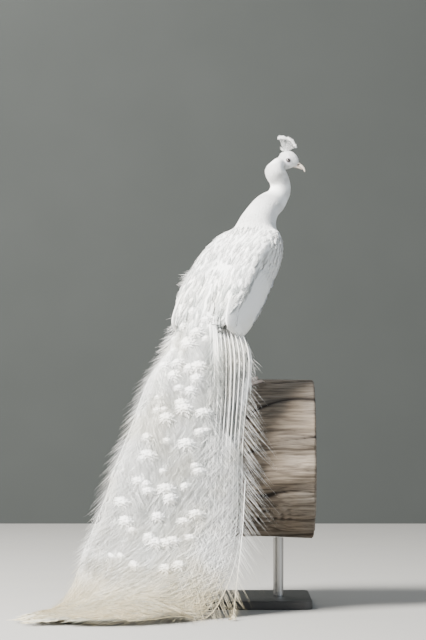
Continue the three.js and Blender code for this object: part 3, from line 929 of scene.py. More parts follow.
def store_growth(mesh, aim, out, size, patch):
    """Stores what the trees read at each point: a feather's aim, outward side, size and patch."""
    flat = np.concatenate([patch, np.zeros((len(patch), 1))], 1)
    for name, values in {"aim": aim, "out": out, "size": size, "patch": flat}.items():
        store(mesh, name, "FLOAT_VECTOR", values)


def joined(parts):
    """Several groups of roots as one."""
    return [np.concatenate(columns) for columns in zip(*parts)]


def lay(name, template, roots, finish):
    """Lays a template at every root, in as many pieces as the limit on triangles asks for."""
    points, *growth, shade = roots
    most = max(1, TRIANGLE_LIMIT // template.triangles)
    parts = math.ceil(len(points) / most)
    pieces = []
    for part in range(parts):
        chosen = slice(part, None, parts)
        mesh = bpy.data.meshes.new("roots")
        mesh.from_pydata(points[chosen], [], [])
        store_growth(mesh, *(values[chosen] for values in growth))
        # Each root's painted shade
        store(mesh, "shade", "FLOAT", shade[chosen])
        tree = shared_tree("Feathers at roots", rooted_tree)
        made = grown(tree, mesh, Feather=template.object, Finish=finish, Patch_Size=BAKE_PATCH)
        pieces.append(keep(name if parts == 1 else f"{name}_{part + 1}", made, finish))
    return pieces


# ---------------------------------------------------------------- the skin and its coat


def head_shells():
    """The head's own shells: the skull with its sockets and brows, the lids, and the top of the neck."""
    local = to_head(SKULL.rings(60, 72, grow=-1.2) / MM)
    behind = np.minimum(local[..., 1] + 22, 0)
    local[..., 1] -= 0.55 * behind
    local[..., 2] += 0.25 * behind * (local[..., 2] > -8)
    across, forward, height = local[..., 0], local[..., 1], local[..., 2]
    from_eye = np.hypot(forward - EYE_AT[1], height - EYE_AT[2])
    socket = 1.5 * np.exp(-((from_eye / 9.5) ** 2))
    brow = 1.3 * np.exp(-((forward - 4) ** 2) / 90 - (height - 16) ** 2 / 18)
    cheek = 1.1 * np.exp(-((forward + 1) ** 2) / 60 - (height + 9) ** 2 / 40)
    lores = -1.0 * np.exp(-((forward - 20) ** 2) / 40 - (height - 3) ** 2 / 30)
    local[..., 0] += np.sign(across) * (brow + cheek + lores - socket) * (np.abs(across) > 4)
    shells = [from_head(local) * MM]
    throat = lambda t: -4.0 - 3.0 * falling(t, 0.74, 0.12)
    shells.append(NECK.rings(30, 60, grow=throat, start=0.60, end=1.0))
    for sign in SIDES.values():
        shells += lid_shells(sign)
    return shells


LID = {"half_width": 6.5, "half_height": 4.5, "tilt": -14, "inner": 6.9, "outer": 8.0}


def lid_shells(sign):
    """The upper and lower lids of one eye: two curved bands round an almond opening."""
    shells = []
    for upper in (True, False):
        span = np.linspace(-8, 188, 22) if upper else np.linspace(172, 368, 22)
        rings = []
        for turn in np.radians(span):
            c, s = abs(math.cos(turn)), abs(math.sin(turn))
            reach = ((c / LID["half_width"]) ** 1.5 + (s / LID["half_height"]) ** 1.5) ** (-1 / 1.5)
            opening = math.asin(min(0.98, reach / LID["inner"]))
            section = [
                # away from the eye's axis, radius
                (opening, LID["inner"]),
                (opening - 0.02, LID["inner"] + 0.7),
                (opening + 0.12, LID["outer"]),
                (opening + 0.4, LID["outer"] + 0.2),
                (1.75, LID["outer"] - 0.3),
                (1.75, LID["inner"]),
            ]
            around = []
            for away, radius in section:
                tilted = turn + math.radians(LID["tilt"])
                plane = radius * math.sin(away)
                place = (radius * math.cos(away), plane * math.cos(tilted), plane * math.sin(tilted))
                around.append((sign * (EYE_AT[0] + place[0]), EYE_AT[1] + place[1], EYE_AT[2] + place[2]))
            rings.append(around)
        shells.append(from_head(np.array(rings)) * MM)
    return shells


def scapular_form(sign):
    """The soft feathering that fills the groove between a folded wing and the back."""
    table = [
        # axial, dorsal, right, radius
        (-300, 24, 74, 12),
        (-262, 35, 77, 25),
        (-215, 45, 79, 32),
        (-170, 53, 80, 35),
        (-100, 63, 76, 35),
        (-20, 66, 72, 35),
        (60, 57, 66, 30),
        (118, 43, 52, 20),
    ]
    stations = []
    for axial, dorsal, right, radius in table:
        place = body_point(axial, dorsal, sign * right)
        stations.append(ring(*place, radius * 1.35, radius * 0.75, radius))
    return Form(stations)


SCAPULARS = {side: scapular_form(sign) for side, sign in SIDES.items()}

RUMP = 0.60  # from here to its root, the train's solid has a skin
WING_TUCK = 19.0


def under_wings(t, across):
    """How far the train's sides are drawn in where the wings' tips lie over them, in millimetres."""
    beside = rising(np.abs(across), 0.25, 0.35)
    return WING_TUCK * rising(t, 0.69, 0.10) * beside


def body_shells():
    """The body's shells, each inside its solid by its coat's depth."""
    depth = sizes().coat_depth / MM
    neck_base = lambda t: -5.0 - 10.0 * falling(t, 0.22, 0.22)
    train_root = lambda t: -5.0 - 12.0 * rising(t, 0.84, 0.16) - 8.0 * falling(t, 0.70, 0.10)
    shells = [TRUNK.rings(40, 48, grow=-depth), NECK.rings(40, 40, grow=neck_base)]
    shells += [THIGHS[side].rings(24, 24, grow=-5.0) for side in SIDES]
    wing_tip = lambda t: -2.5 - 2.5 * falling(t, 0.40, 0.2)
    shells += [WINGS[side].rings(40, 36, grow=wing_tip, start=0.14) for side in SIDES]
    shells += [SCAPULARS[side].rings(30, 24) for side in SIDES]
    t, angle = round_grid(40, 40, RUMP)
    shells.append(TRAIN.at(t, angle, train_root(t) - under_wings(t, np.cos(angle))))
    return shells


def blended(mesh, values, rounds):
    """Values at a mesh's vertices, evened out with their neighbours' some rounds over."""
    ends = np.empty(len(mesh.edges) * 2, np.int32)
    mesh.edges.foreach_get("vertices", ends)
    first, second = ends[0::2], ends[1::2]
    count = np.bincount(ends, minlength=len(values))[:, None] + 1.0
    for _ in range(rounds):
        total = values.copy()
        for column in range(values.shape[1]):
            total[:, column] += np.bincount(first, values[second, column], len(values))
            total[:, column] += np.bincount(second, values[first, column], len(values))
        values = total / count
    return values


EASED = [
    # place, reach and rounds of smoothing
    ((0, 80, 1165), 135, 60),
    ((12, 190, 1390), 34, 90),
    ((22, 215, 1296), 60, 40),
]


FACE_KEPT = 22  # nothing is eased this near to an eye


def eased(mesh):
    """Softens the creases where the neck leaves the shoulders, bends, and meets the skull."""
    points = coordinates(mesh)
    for place, reach, rounds in EASED:
        away = np.linalg.norm(points / MM - np.array(place, float), axis=1)
        share = np.clip((reach - away) / (0.4 * reach), 0, 1)[:, None]
        near_eye = np.abs(to_head(points / MM) - (0, *EYE_AT[1:]))
        share = share * (np.hypot(near_eye[:, 1], near_eye[:, 2]) > FACE_KEPT)[:, None]
        points = points * (1 - share) + blended(mesh, points, rounds) * share
    move_to(mesh, points)


BODY_SMOOTHING = 14  # rounds over the whole body
HEAD_SMOOTHING = 3


def build_skin():
    """One closed skin over the flesh: the body's coarser grain joined to the head's finer one."""
    body = new_object("skin", remeshed("body", body_shells(), sizes().skin_voxel, BODY_SMOOTHING))
    head = new_object("head skin", remeshed("head", head_shells(), sizes().face_voxel, HEAD_SMOOTHING))
    join = body.modifiers.new("Join", "BOOLEAN")
    join.operation = "UNION"
    join.solver = "EXACT"
    join.object = head
    mesh = evaluated(body)
    discard(head)
    eased(mesh)
    mesh.shade_smooth()
    return mesh


HEAD_REACH = 60  # the head's own features end this far from its middle
BARE_PATCHES = [
    # forward and up from the eye, half length, half height
    (2, -8.5, 12, 5.5),
    (3, 9.0, 10, 3.6),
    (0, 0, 8.0, 6.4),
]


def bareness(points):
    """1 on the featherless skin above, below and round the eye, 0 elsewhere."""
    local = to_head(points / MM)
    forward, height = local[:, 1] - EYE_AT[1], local[:, 2] - EYE_AT[2]
    inside = np.zeros(len(points))
    for ahead, up, long, high in BARE_PATCHES:
        away = np.hypot((forward - ahead) / long, (height - up) / high)
        inside = np.maximum(inside, falling(away, 1.12, 0.24))
    far = (np.linalg.norm(local, axis=1) > HEAD_REACH) | (np.abs(local[:, 0]) < 8)
    return np.where(far, 0, inside)


def lid_margin(points):
    """1 along the dark margins of the lids, 0 elsewhere."""
    local = to_head(points / MM)
    tilt = math.radians(LID["tilt"])
    ahead, up = local[:, 1] - EYE_AT[1], local[:, 2] - EYE_AT[2]
    along = np.abs(ahead * math.cos(tilt) + up * math.sin(tilt)) / LID["half_width"]
    over = np.abs(up * math.cos(tilt) - ahead * math.sin(tilt)) / LID["half_height"]
    away = (along**1.5 + over**1.5) ** (1 / 1.5)
    near = (np.linalg.norm(local, axis=1) < HEAD_REACH) & (np.abs(local[:, 0]) > 12)
    return falling(away, 1.72, 0.35) * near


# What grows on each form: the feather's length and width at t = 0 and at t = 1, in millimetres.
GROWTH = {
    "skull": ((5.5, 2.6), (4, 2.0)),
    "neck": ((24, 12), (7, 3.2)),
    "trunk": ((32, 18), (27, 16)),
    "thigh": ((16, 8), (28, 14)),
    "wing": ((38, 22), (26, 17)),
    "scapular": ((42, 18), (28, 17)),
    "train": ((60, 20), (36, 19)),
}
SITES_ROUND = 60  # and as many along each form
SITE_REACH = 0.014  # farthest that a site may lie from the skin
SITES_MIXED = 5  # each vertex takes the mean of this many sites
FINE_GRAIN = 75  # the skin's grain is fine this near to the head's middle
END_CAPS = (0.06, 0.92)  # nothing grows on the forms' ends, which lie inside their neighbours


def growth_sites():
    """Dense sites over every feathered form, with place, lie, outward side, feather size, patch and t."""
    forms = {"skull": SKULL, "neck": NECK, "trunk": TRUNK, "train": TRAIN}
    for kind, pair in {"wing": WINGS, "thigh": THIGHS, "scapular": SCAPULARS}.items():
        forms.update({f"{kind}_{side}": form for side, form in pair.items()})
    gathered = []
    for name, form in forms.items():
        start = RUMP if name == "train" else 0.0
        round_it = np.linspace(0, 2 * math.pi, SITES_ROUND, endpoint=False)
        t, angle = (values.ravel() for values in np.meshgrid(np.linspace(start, 1, SITES_ROUND), round_it))
        point, lie, out, _ = form.site(t, angle)
        spine_near = lambda shift: through(form.spine, np.clip(t + shift, 0, 1))
        down = unit(spine_near(-0.01) - spine_near(0.01))
        kept = np.sum(lie * down, 1) > (0.0 if name == "skull" else 0.6)
        if name != "skull":
            kept &= (t > END_CAPS[0]) & (t < END_CAPS[1])
        share = (t - start) / (1 - start)
        low, high = np.array(GROWTH[name.split("_")[0]], float)
        size = low + (high - low) * share[:, None]
        patch = patch_of(name.replace("scapular", "wing"), t, angle)
        gathered.append((name, *(column[kept] for column in (point, lie, out, size, patch, t))))
    return gathered


REGIONS = {
    # piece: forms, feather, spacing of the roots, rise of the tips, unevenness of the lie, and the most
    # painted shade that a feather may get at random
    "coat_head": (("skull",), "pointed", 1.9, 0.06, 0.20, 0.45),
    "coat_neck": (("neck",), "pointed", 4.2, 0.02, 0.10, 0.08),
    "coat_back": (("train", "scapular_left", "scapular_right"), "loose", 11.8, 0.06, 0.30, 1.0),
    "coat_body": (("trunk",), "rounded", 9.0, 0.03, 0.14, 0.24),
    "coat_wings": (("wing_left", "wing_right"), "rounded", 10.5, 0.025, 0.07, 0.12),
    "coat_thighs": (("thigh_left", "thigh_right"), "rounded", 7.5, 0.03, 0.14, 0.20),
}


def on_skin(sites, vertices, normals):
    """Those sites that lie close over the skin and face the same way as it does."""
    tree = search_tree(vertices)
    chosen = []
    for name, *columns in sites:
        point, _, out, *_ = columns
        found = [tree.find(place) for place in point]
        near = np.array([index for _, index, _ in found])
        gap = np.array([distance for _, _, distance in found])
        kept = (gap < SITE_REACH) & (np.sum(out * normals[near], 1) > 0.3)
        chosen.append((name, *(column[kept] for column in columns)))
    return chosen


def growing_skin(mesh):
    """Stores what grows at each vertex, and returns the forms, t, places and how squarely each faces out."""
    vertices = coordinates(mesh)
    normals = np.empty(len(vertices) * 3, np.float32)
    mesh.vertices.foreach_get("normal", normals)
    normals = normals.reshape(-1, 3)
    sites = on_skin(growth_sites(), vertices, normals)
    names = [name for name, *_ in sites]
    label = np.concatenate([np.full(len(site[1]), index) for index, site in enumerate(sites)])
    point, lie, out, size, patch, along = (
        np.concatenate([site[k] for site in sites]) for k in range(1, 7)
    )
    tree = search_tree(point)
    near = np.array([[found[1] for found in tree.find_n(place, SITES_MIXED)] for place in vertices])
    grain = np.where(np.linalg.norm(to_head(vertices / MM), axis=1) < FINE_GRAIN, 0, 1)[:, None]
    carried = np.concatenate([unit(lie[near].mean(1)), unit(out[near].mean(1)), size[near].mean(1)], 1)
    fine, coarse = blended(mesh, carried, 30), blended(mesh, carried, 36)
    carried = fine * (1 - grain) + coarse * grain
    out_side = unit(unit(carried[:, 3:6]) * 0.3 + unit(blended(mesh, normals.astype(float), 16)) * 0.7)
    aim = unit(carried[:, :3] - out_side * np.sum(carried[:, :3] * out_side, 1, keepdims=True))
    grown_size = carried[:, [6, 7, 6]] * MM
    first = near[:, 0]
    store_growth(mesh, aim, out_side, grown_size, patch[first])
    return [names[k] for k in label[first]], along[first], vertices, np.sum(normals * out_side, 1)


def thinned(name, t, right):
    """How densely the coat grows: it gives way to the flight feathers and to the train."""
    if name.startswith("wing"):
        return rising(t, 0.30, 0.06)
    if name == "train":
        edge = 0.59 + 0.07 * rising(right / MM, 30, 50)
        return rising(t, edge, 0.11)
    return np.ones_like(t)


DOWN_SECTION = ((0, 0.035, -0.004), (0, 0, 0.009), (0, -0.035, -0.004))


def loose_shells(barbs=5):
    """A downy body feather: a narrow vane, and soft barbs that fan out on both sides of it."""
    shells = [vane_shell((0, 0.4, 0.8, 1), 0.26, 0.02, bend=0.06, camber=0.15, round_tip=0.4)]
    for side in (-1, 1):
        for k in range(barbs):
            start = 0.15 + 0.16 * k
            s = np.array([0.0, 0.5, 1.0])[:, None]
            x = start + (0.46 - 0.05 * k) * s
            y = side * (0.52 - 0.07 * k) * s**1.15
            spine = np.concatenate([x, y, 0.01 - 0.05 * x**2 - 0.03 * s], 1)
            wide = np.array([1.0, 0.9, 0.15])[:, None]
            shells.append(np.stack([spine + wide * np.array(corner) for corner in DOWN_SECTION], 1))
    return shells


def build_coat(skin):
    """Small feathers over the whole skin, smallest on the head, a piece for each region."""
    mesh = skin.data.copy()
    labels, along, vertices, faced = growing_skin(mesh)
    labels = np.array(labels)
    behind, above = vertices[:, 1] / MM - BODY_CENTRE[0], vertices[:, 2] / MM - BODY_CENTRE[1]
    dorsal = above * math.cos(BODY_PITCH) - behind * math.sin(BODY_PITCH)
    labels[(labels == "trunk") & (dorsal > 20) & (along < 0.72)] = "scapular_left"
    bare = bareness(vertices)
    apart = 1.0
    stations = (0, 0.25, 0.55, 0.8, 0.93, 1)
    shapes = {
        "pointed": [vane_shell(stations, 0.5, 0.018, bend=0.03, camber=0.10, round_tip=0.45)],
        "rounded": [vane_shell(stations, 0.5, 0.02, bend=0.02, camber=0.07, round_tip=0.62)],
        "loose": loose_shells(),
    }
    finish = plumage("plumage")
    store(mesh, "share", "FLOAT", np.zeros(len(vertices)))
    for index, (name, (forms, kind, spacing, rise, unevenness, shading)) in enumerate(REGIONS.items()):
        share = np.isin(labels, forms) * (bare < 0.4) * rising(faced, 0.7, 0.15)
        for form in forms:
            share = np.where(labels == form, share * thinned(form, along, vertices[:, 0]), share)
        regional = mesh.copy()
        regional.attributes["share"].data.foreach_set("value", share.astype(np.float32))
        with Template("feather", shapes[kind], 16) as feather:
            made = grown(
                shared_tree("Coat of feathers", coat_tree),
                regional,
                Feather=feather.object,
                Finish=finish,
                Spacing=spacing * apart * MM,
                Rise=rise,
                Unevenness=unevenness,
                Mottling=shading,
                Patch_Size=BAKE_PATCH,
                Seed=SEED + index,
            )
        keep(name, made, finish)
    bpy.data.meshes.remove(mesh)


# ---------------------------------------------------------------- wings and tail


VANE_TOP = [(-1, -0.25), (-0.5, 0.35), (-0.06, 0.6), (0, 1.5), (0.06, 0.6), (0.5, 0.35), (1, -0.25)]
VANE_SECTION = [*VANE_TOP, (0, -0.6)]
BARB_PITCH = 1.6  # millimetres between the lines that a vane's barbs draw


def laid_vane(form, t, angle, half_width, lift, thick):
    """A long vane that follows a form's surface from its root to its tip, with its barbs' lines."""
    step = 1e-3
    stretch = np.linalg.norm(form.at(t, angle + step) - form.at(t, angle - step), axis=-1) / (2 * step) / MM
    half_turn = half_width / np.maximum(stretch, 1e-6)
    rings = np.stack([form.at(t, angle + a * half_turn, lift + b * thick) for a, b in VANE_SECTION], 1)
    walked = walked_along(form.at(t, angle)) / MM
    reach = np.abs(np.array([across for across, _ in VANE_SECTION]))
    return rings, (walked[:, None] - 0.8 * half_width[:, None] * reach) / BARB_PITCH


def feather_outline(count, half_width, round_tip=0.86, narrow_root=0.25):
    """Half widths of a flight feather from its root to its rounded tip."""
    s = np.linspace(0, 1, count)
    closing = np.sqrt(np.maximum(0, 1 - rising(s, round_tip, 1 - round_tip) ** 2))
    return np.maximum(half_width * closing * np.minimum(1, narrow_root + 3 * s), 0.3)


FLIGHT_ROWS = [
    # row, feathers, top and bottom angle, root t, tip t of the top and bottom feather, half width, lift
    ("primaries", 9, (-18, -74), 0.40, (0.07, 0.008), 15, -1.6),
    ("secondaries", 15, (72, -52), 0.50, (0.07, 0.035), 21, -0.6),
    ("greater_coverts", 15, (76, -58), 0.56, (0.085, 0.06), 20, 1.1),
]


def flight_feather(side, root, tip, turn, half_width, lift):
    """One long feather along a wing's form: its rings, its patch, its barbs' lines, and painted shade over
    its covered root.
    """
    s = np.linspace(0, 1, 24)
    angle = math.radians(turn[0]) * (1 - 0.06 * s) + math.radians(turn[1])
    angle = angle if SIDES[side] > 0 else math.pi - angle
    height = lift - 4.0 * (1 - s) ** 3
    widths = feather_outline(24, half_width)
    rings, lines = laid_vane(WINGS[side], root + (tip - root) * s, angle, widths, height, 0.5)
    patch = patch_of(f"wing_{side}", (root + tip) / 2, angle[0])
    return rings, patch, {"barb_lines": lines, "covered": 0.5 * np.clip(1 - 2 * s, 0, 1)[:, None]}


def build_wings():
    """Each folded wing's flight feathers and greater coverts, upper ones lapped over lower ones."""
    finish = plumage("flight_plumage", grain=1300.0, relief=0.0002, sheen=0.15)
    rng = np.random.default_rng(SEED)
    for side, form in WINGS.items():
        sheaf = Sheaf()
        core = form.rings(24, 32, grow=-2.6, start=0.03, end=0.34)
        # The core under the flight feathers gets painted shade
        sheaf.add(core, patch_of(f"wing_{side}", 0.2, 0.0), barb_lines=0.0, covered=0.4)
        for _, count, (top, bottom), root, tips, half_width, lift in FLIGHT_ROWS:
            for share in np.arange(count) / (count - 1):
                tip = tips[0] + (tips[1] - tips[0]) * share + rng.uniform(-0.006, 0.006)
                turn = (top + (bottom - top) * share, rng.uniform(-1.0, 1.0))
                raised = lift + 1.2 * (1 - share)
                rings, patch, tones = flight_feather(side, root, tip, turn, half_width, raised)
                sheaf.add(rings, patch, **tones)
        keep(f"flight_feathers_{side}", sheaf.mesh("flight"), finish, (f"wing_{side}",))


def build_tail():
    """The stiff tail feathers under the train, the middle ones uppermost, over a thin core."""
    finish = plumage("tail_plumage", grain=1300.0, relief=0.0002, sheen=0.15)
    sheaf = Sheaf()
    sheaf.add(TAIL.rings(30, 32, grow=-1.6, start=0.02), patch_of("tail", 0.5, 0.0), barb_lines=0.0)
    count = 14
    for face in (1, -1):
        for k in range(count):
            across = -0.86 + 1.72 * k / (count - 1)
            s = np.linspace(0, 1, 14)
            t = 0.96 * (1 - s) + 0.015 + 0.05 * across**2 * s
            angle = face * np.arccos(across * (0.75 + 0.25 * s))
            height = 0.3 + 1.2 * (1 - abs(across)) * np.ones_like(s)
            widths = feather_outline(14, 17, round_tip=0.9) * (0.45 + 0.55 * s)
            rings, lines = laid_vane(TAIL, t, angle, widths, height, 0.6)
            sheaf.add(rings, patch_of("tail", 0.5, angle[0]), barb_lines=lines)
    keep("tail_feathers", sheaf.mesh("tail"), finish, ("tail",))


# ---------------------------------------------------------------- the train

TRAIN_ROOT = 0.82  # as a share of the train's solid, counted from its tip
COAT_EDGE = 0.65  # from here up, the back's coat lies over the train's feathers
COAT_SINK = 24.0
LIFT_PER_TIP = 6.0  # feathers that end higher up lie over those that end lower down
LOCK_THICK = 0.02
SHAFT_SECTION = ((1, 0), (0, 1), (-1, 0), (0, -1))
FLOOR_GAP = 0.0008  # lowest that a barb may lie
FLOOR_EASE = 0.006  # barbs under this height are eased
FRINGE = {
    # side: gap between barbs, barb length, degrees off the shaft, top and bottom end of the fringe
    1: (0.0030, 0.155, 42, 0.70, 0.09),
    -1: (0.0015, 0.068, 28, 0.795, 0.09),
}


def turn_of(across):
    """The angle round the train of a share from -1 to 1 across its upper face."""
    return np.arccos(np.clip(across, -0.9999, 0.9999))


def train_surface(t, across, lift):
    """Sites on the train's upper face at a share from -1 to 1 across it."""
    edge = COAT_EDGE + 0.05 * rising(across, 0.25, 0.2)
    sunk = COAT_SINK * rising(t, edge, TRAIN_ROOT - edge)
    sunk = np.maximum(sunk, under_wings(t, across))
    return TRAIN.site(t, turn_of(across), lift - sunk)


WISPS = [
    # form, t from and to, angle, barbs, length, degrees off the surface
    (SCAPULARS["left"], (0.44, 0.56), 136, 46, 0.030, 40),
    (TRAIN, (0.735, 0.80), 138, 90, 0.046, 34),
    (TRAIN, (0.70, 0.76), 146, 90, 0.050, 30),
    (TRAIN, (0.80, 0.90), 136, 60, 0.030, 26),
]


def train_edge(t, across):
    """Sites along an edge of the train, on its solid's surface."""
    return TRAIN.site(t, np.arccos(across + 0 * t), 2.0 - 0.6 * under_wings(t, across))


EYES_PER_ROW = 3
PLAIN_PER_ROW = 6
EDGE_FEATHERS = [
    # kind, feathers, first share across and the span from it, tip and what it gains with the share's
    # square, the tip's play, and how far the root is drawn in
    ("fishtail", 40, -0.97, 1.80, 0.045, 0.06, (0, 0.05), 0.85),
    ("long", 10, 0.36, 0.59, 0.06, 0.05, (0, 0.03), 0.97),
    ("long", 8, -0.55, -0.42, 0.02, 0.0, (0.02, 0.28), 0.93),
]


def feather_lines():
    """Each train feather's kind, its tip along and across the train, its root across it, and its shade."""
    rng = np.random.default_rng(SEED + 1)
    lines = []
    rows = sizes().train_rows
    for row in range(rows):
        down = row / (rows - 1)
        for k in range(EYES_PER_ROW):
            across = -0.62 + 0.40 * k + 0.20 * (row % 2) + rng.uniform(-0.10, 0.10)
            tip = 0.735 - 0.475 * down + rng.uniform(-0.022, 0.022)
            lines.append(("eye" if across < 0.34 + 0.2 * down else "plain", tip, across, across * 0.85))
        for k in range(PLAIN_PER_ROW):
            across = -0.82 + 0.25 * k + rng.uniform(-0.10, 0.10)
            lines.append(("plain", 0.72 - 0.65 * down + rng.uniform(-0.02, 0.02), across, across * 0.85))
    for kind, count, first, span, lowest, arch, play, drawn_in in EDGE_FEATHERS:
        for k in range(count):
            across = first + span * k / (count - 1)
            tip = lowest + arch * across**2 + rng.uniform(*play)
            lines.append((kind, tip, across, across * drawn_in))
    # Painted shade for each kind of feather, times a random share, for feathers that lie deeper
    shades = {"eye": 0.45, "plain": 0.75, "fishtail": 0.40, "long": 0.10}
    return [(*line, shades[line[0]] * rng.uniform(0, 1)) for line in lines]


def run_of(tip, across, root_across, count=90):
    """A train feather's t and share across, from its tip to its root."""
    s = np.linspace(0, 1, count)
    return tip + (TRAIN_ROOT - tip) * s, across + (root_across - across) * s


def back_along(point, away, t, share):
    """t and share across at some distances from the tip of a run of points."""
    steps = np.arange(len(t))
    place_on = np.interp(away, walked_along(point), steps)
    return np.interp(place_on, steps, t), np.interp(place_on, steps, share)


def strand(spine, side, up, wide, section):
    """Rings along a spine, whose corners lie so many widths to its side and up from it."""
    return np.stack([spine + side * wide * a + up * wide * b for a, b in section], 1)


BARBS = {
    # kind: barbed length of the shaft, then a barb's length and degrees off the shaft,
    # each at the tip and with what it gains farther up
    "eye": (0.26, 0.030, 0.030, 18, 12),
    "plain": (0.30, 0.048, 0.018, 15, 12),
    "fishtail": (0.50, 0.058, 0.010, 22, 10),
    "long": (0.90, 0.050, 0.022, 24, 14),
}


def barbs_of(line, rng):
    """Roots of one train feather's barbs, on both sides of its shaft."""
    kind, tip, across, root_across, shade = line
    lift = 1.0 + LIFT_PER_TIP * tip + (4.5 if kind == "long" else 0.0)
    t, share = run_of(tip, across, root_across)
    point, *_ = train_surface(t, share, lift)
    total = walked_along(point)[-1]
    shown, shortest, longer, least, wider = BARBS[kind]
    gap = sizes().barb_gap * 1.0 * (1.7 if kind == "long" else 1.0)
    close = np.arange(0.004, min(shown, total * 0.9), gap)
    roots = []
    for side in (-1, 1):
        away = np.clip(close + rng.uniform(-0.4, 0.4, len(close)) * gap, 0, total)
        bt, bs = back_along(point, away, t, share)
        inside = ~((np.abs(bs) > 0.80) & (np.sign(bs) == side))
        away, bt, bs = away[inside], bt[inside], bs[inside]
        place, lie, out, level = train_surface(bt, bs, lift)
        over = unit(np.cross(lie, out))
        over = over * np.sign(np.sum(over * level, -1, keepdims=True)) * side
        opened = np.clip(away / 0.14, 0, 1)
        long, angle = shortest + longer * opened, least + wider * opened
        long = long * rng.uniform(0.8, 1.2, len(away)) * (0.55 + 0.45 * rising(bt, 0.04, 0.12))
        angle = np.radians(angle + rng.normal(0, 6, len(away)))[:, None]
        rise = rng.normal(0.04, 0.05, len(away))[:, None]
        aim = lie * np.cos(angle) + over * np.sin(angle) + out * rise
        wide = sizes().barb_width * rng.uniform(0.7, 1.1, len(away))
        patch = patch_of("train", bt, turn_of(bs))
        # Painted shade: the feather's own share, and more over the train's right side, away from the key lamp
        toned = np.clip(shade + 0.45 * rising(bs, 0.30, 0.2) * (kind != "long"), 0, 1)
        roots.append((place, unit(aim), out * side, np.stack([long, wide, wide], -1), patch, toned))
    return joined(roots)


def fringe_of(sign, rng):
    """Roots of the loose barbs that stand out along one edge of the train."""
    gap, longest, degrees, top, bottom = FRINGE[sign]
    gap = gap * 1.0
    roots = []
    for across in (0.80, 0.87, 0.93, 0.98):
        t = np.linspace(bottom, top, 200)
        point, *_ = train_edge(t, sign * across)
        walked = walked_along(point)
        away = np.arange(0, walked[-1], gap * 4)
        away = away + rng.uniform(-0.5, 0.5, len(away)) * gap * 3
        bt = np.interp(away, walked, t)
        place, lie, out, level = train_edge(bt, sign * across)
        opened = np.clip((top - bt) / 0.10, 0.30, 1)
        low = 0.5 + 0.5 * rising(bt, bottom, 0.12)
        long = longest * opened * low * rng.uniform(0.45, 1.15, len(bt))
        angle = np.radians(degrees + rng.normal(0, 4.5, len(bt)))[:, None]
        rise = rng.normal(0.0, 0.07, len(bt))[:, None]
        aim = lie * np.cos(angle) + level * sign * np.sin(angle) + out * rise
        wide = sizes().barb_width * rng.uniform(0.24, 0.44, len(bt))
        patch = patch_of("train", bt, np.arccos(sign * across))
        size = np.stack([long, wide, wide], -1)
        roots.append((place, unit(aim), out * sign, size, patch, rng.uniform(0, 0.25, len(bt))))
    return joined(roots)


def wisps(rng):
    """Roots of the loose barbs that stand off the left outline, over the shoulder and the rump."""
    roots = []
    for form, (low, high), degrees, count, long, spread in WISPS:
        t = rng.uniform(low, high, count)
        turn = np.radians(degrees + rng.uniform(-14, 14, count))
        place, lie, out, _ = form.site(t, turn, -3.0)
        angle = np.radians(spread + rng.normal(0, 12, count))[:, None]
        aim = unit(lie * np.cos(angle) + out * np.sin(angle) + rng.normal(0, 0.12, (count, 3)))
        wide = sizes().barb_width * rng.uniform(0.4, 0.7, count)
        size = np.stack([long * rng.uniform(0.5, 1.2, count), wide, wide], -1)
        roots.append((place, aim, np.cross(aim, lie), size, patch_of("train", t, turn), np.zeros(count)))
    return joined(roots)


def scattered(rng, along, over, jitter, edge):
    """Uneven places over the train, t and share across, fewer on the right near the floor."""
    t, across = (values.ravel() for values in np.meshgrid(along, over, indexing="ij"))
    t = t + rng.uniform(-jitter[0], jitter[0], t.size)
    across = across + rng.uniform(-jitter[1], jitter[1], t.size)
    kept = across < edge + (1 - edge) * rising(t, 0.26, 0.16)
    return t[kept], across[kept]


def locks_of(rng):
    """Roots of the soft locks that lie along the train under its barbs."""
    t, across = scattered(rng, np.linspace(0.06, 0.82, 86), np.linspace(-0.86, 0.90, 38), (0.006, 0.03), 0.40)
    place, lie, out, level = train_surface(t, across, rng.uniform(-2.0, 1.0, t.size))
    flank = rising(across, 0.30, 0.15)
    sway = (rng.normal(0, 0.20, t.size) * (1 - 0.75 * flank) - 0.10 * flank)[:, None]
    rise = (rng.uniform(0.0, 0.06, t.size) * (1 - flank))[:, None]
    wide = rng.uniform(0.003, 0.0065, t.size) * (1 - 0.65 * flank)
    size = np.stack([rng.uniform(0.055, 0.10, t.size), wide, np.full(t.size, LOCK_THICK)], -1)
    # Painted shade: a random share for locks that lie deeper, and more over the right side, away from the key
    # lamp
    toned = rng.uniform(0.05, 0.85, t.size) ** 1.2 + 0.3 * rising(across, 0.25, 0.2)
    patch = patch_of("train", t, turn_of(across))
    return place, unit(lie + level * sway + out * rise), out, size, patch, toned


def underside_locks(rng):
    """Roots of the locks on the train's underside."""
    t, across = scattered(rng, np.linspace(0.10, 0.78, 58), np.linspace(-0.94, 0.92, 26), (0.008, 0.04), 0.30)
    turn = -turn_of(across)
    thin = np.minimum(5.5, 0.4 * TRAIN.value("above", t)) + under_wings(t, across)
    place, lie, out, level = TRAIN.site(t, turn, -thin)
    sway = rng.normal(0, 0.12, t.size)[:, None]
    wide = rng.uniform(0.005, 0.010, t.size)
    size = np.stack([rng.uniform(0.06, 0.10, t.size), wide, np.full(t.size, LOCK_THICK)], -1)
    # The underside's locks all get the same painted shade
    return place, unit(lie + level * sway + out * 0.05), out, size, patch_of("train", t, turn), 0.3 + 0 * t


STRAY_LINE = [(166, -189, 400), (196, -246, 250), (228, -318, 110), (252, -368, 30), (264, -389, 10)]
STRAY_FACING = (-0.588, 0.809, 0.0)  # the way its flat side faces
STRAY_BARBS = 44  # on each side of its stem, and as many again at its fork


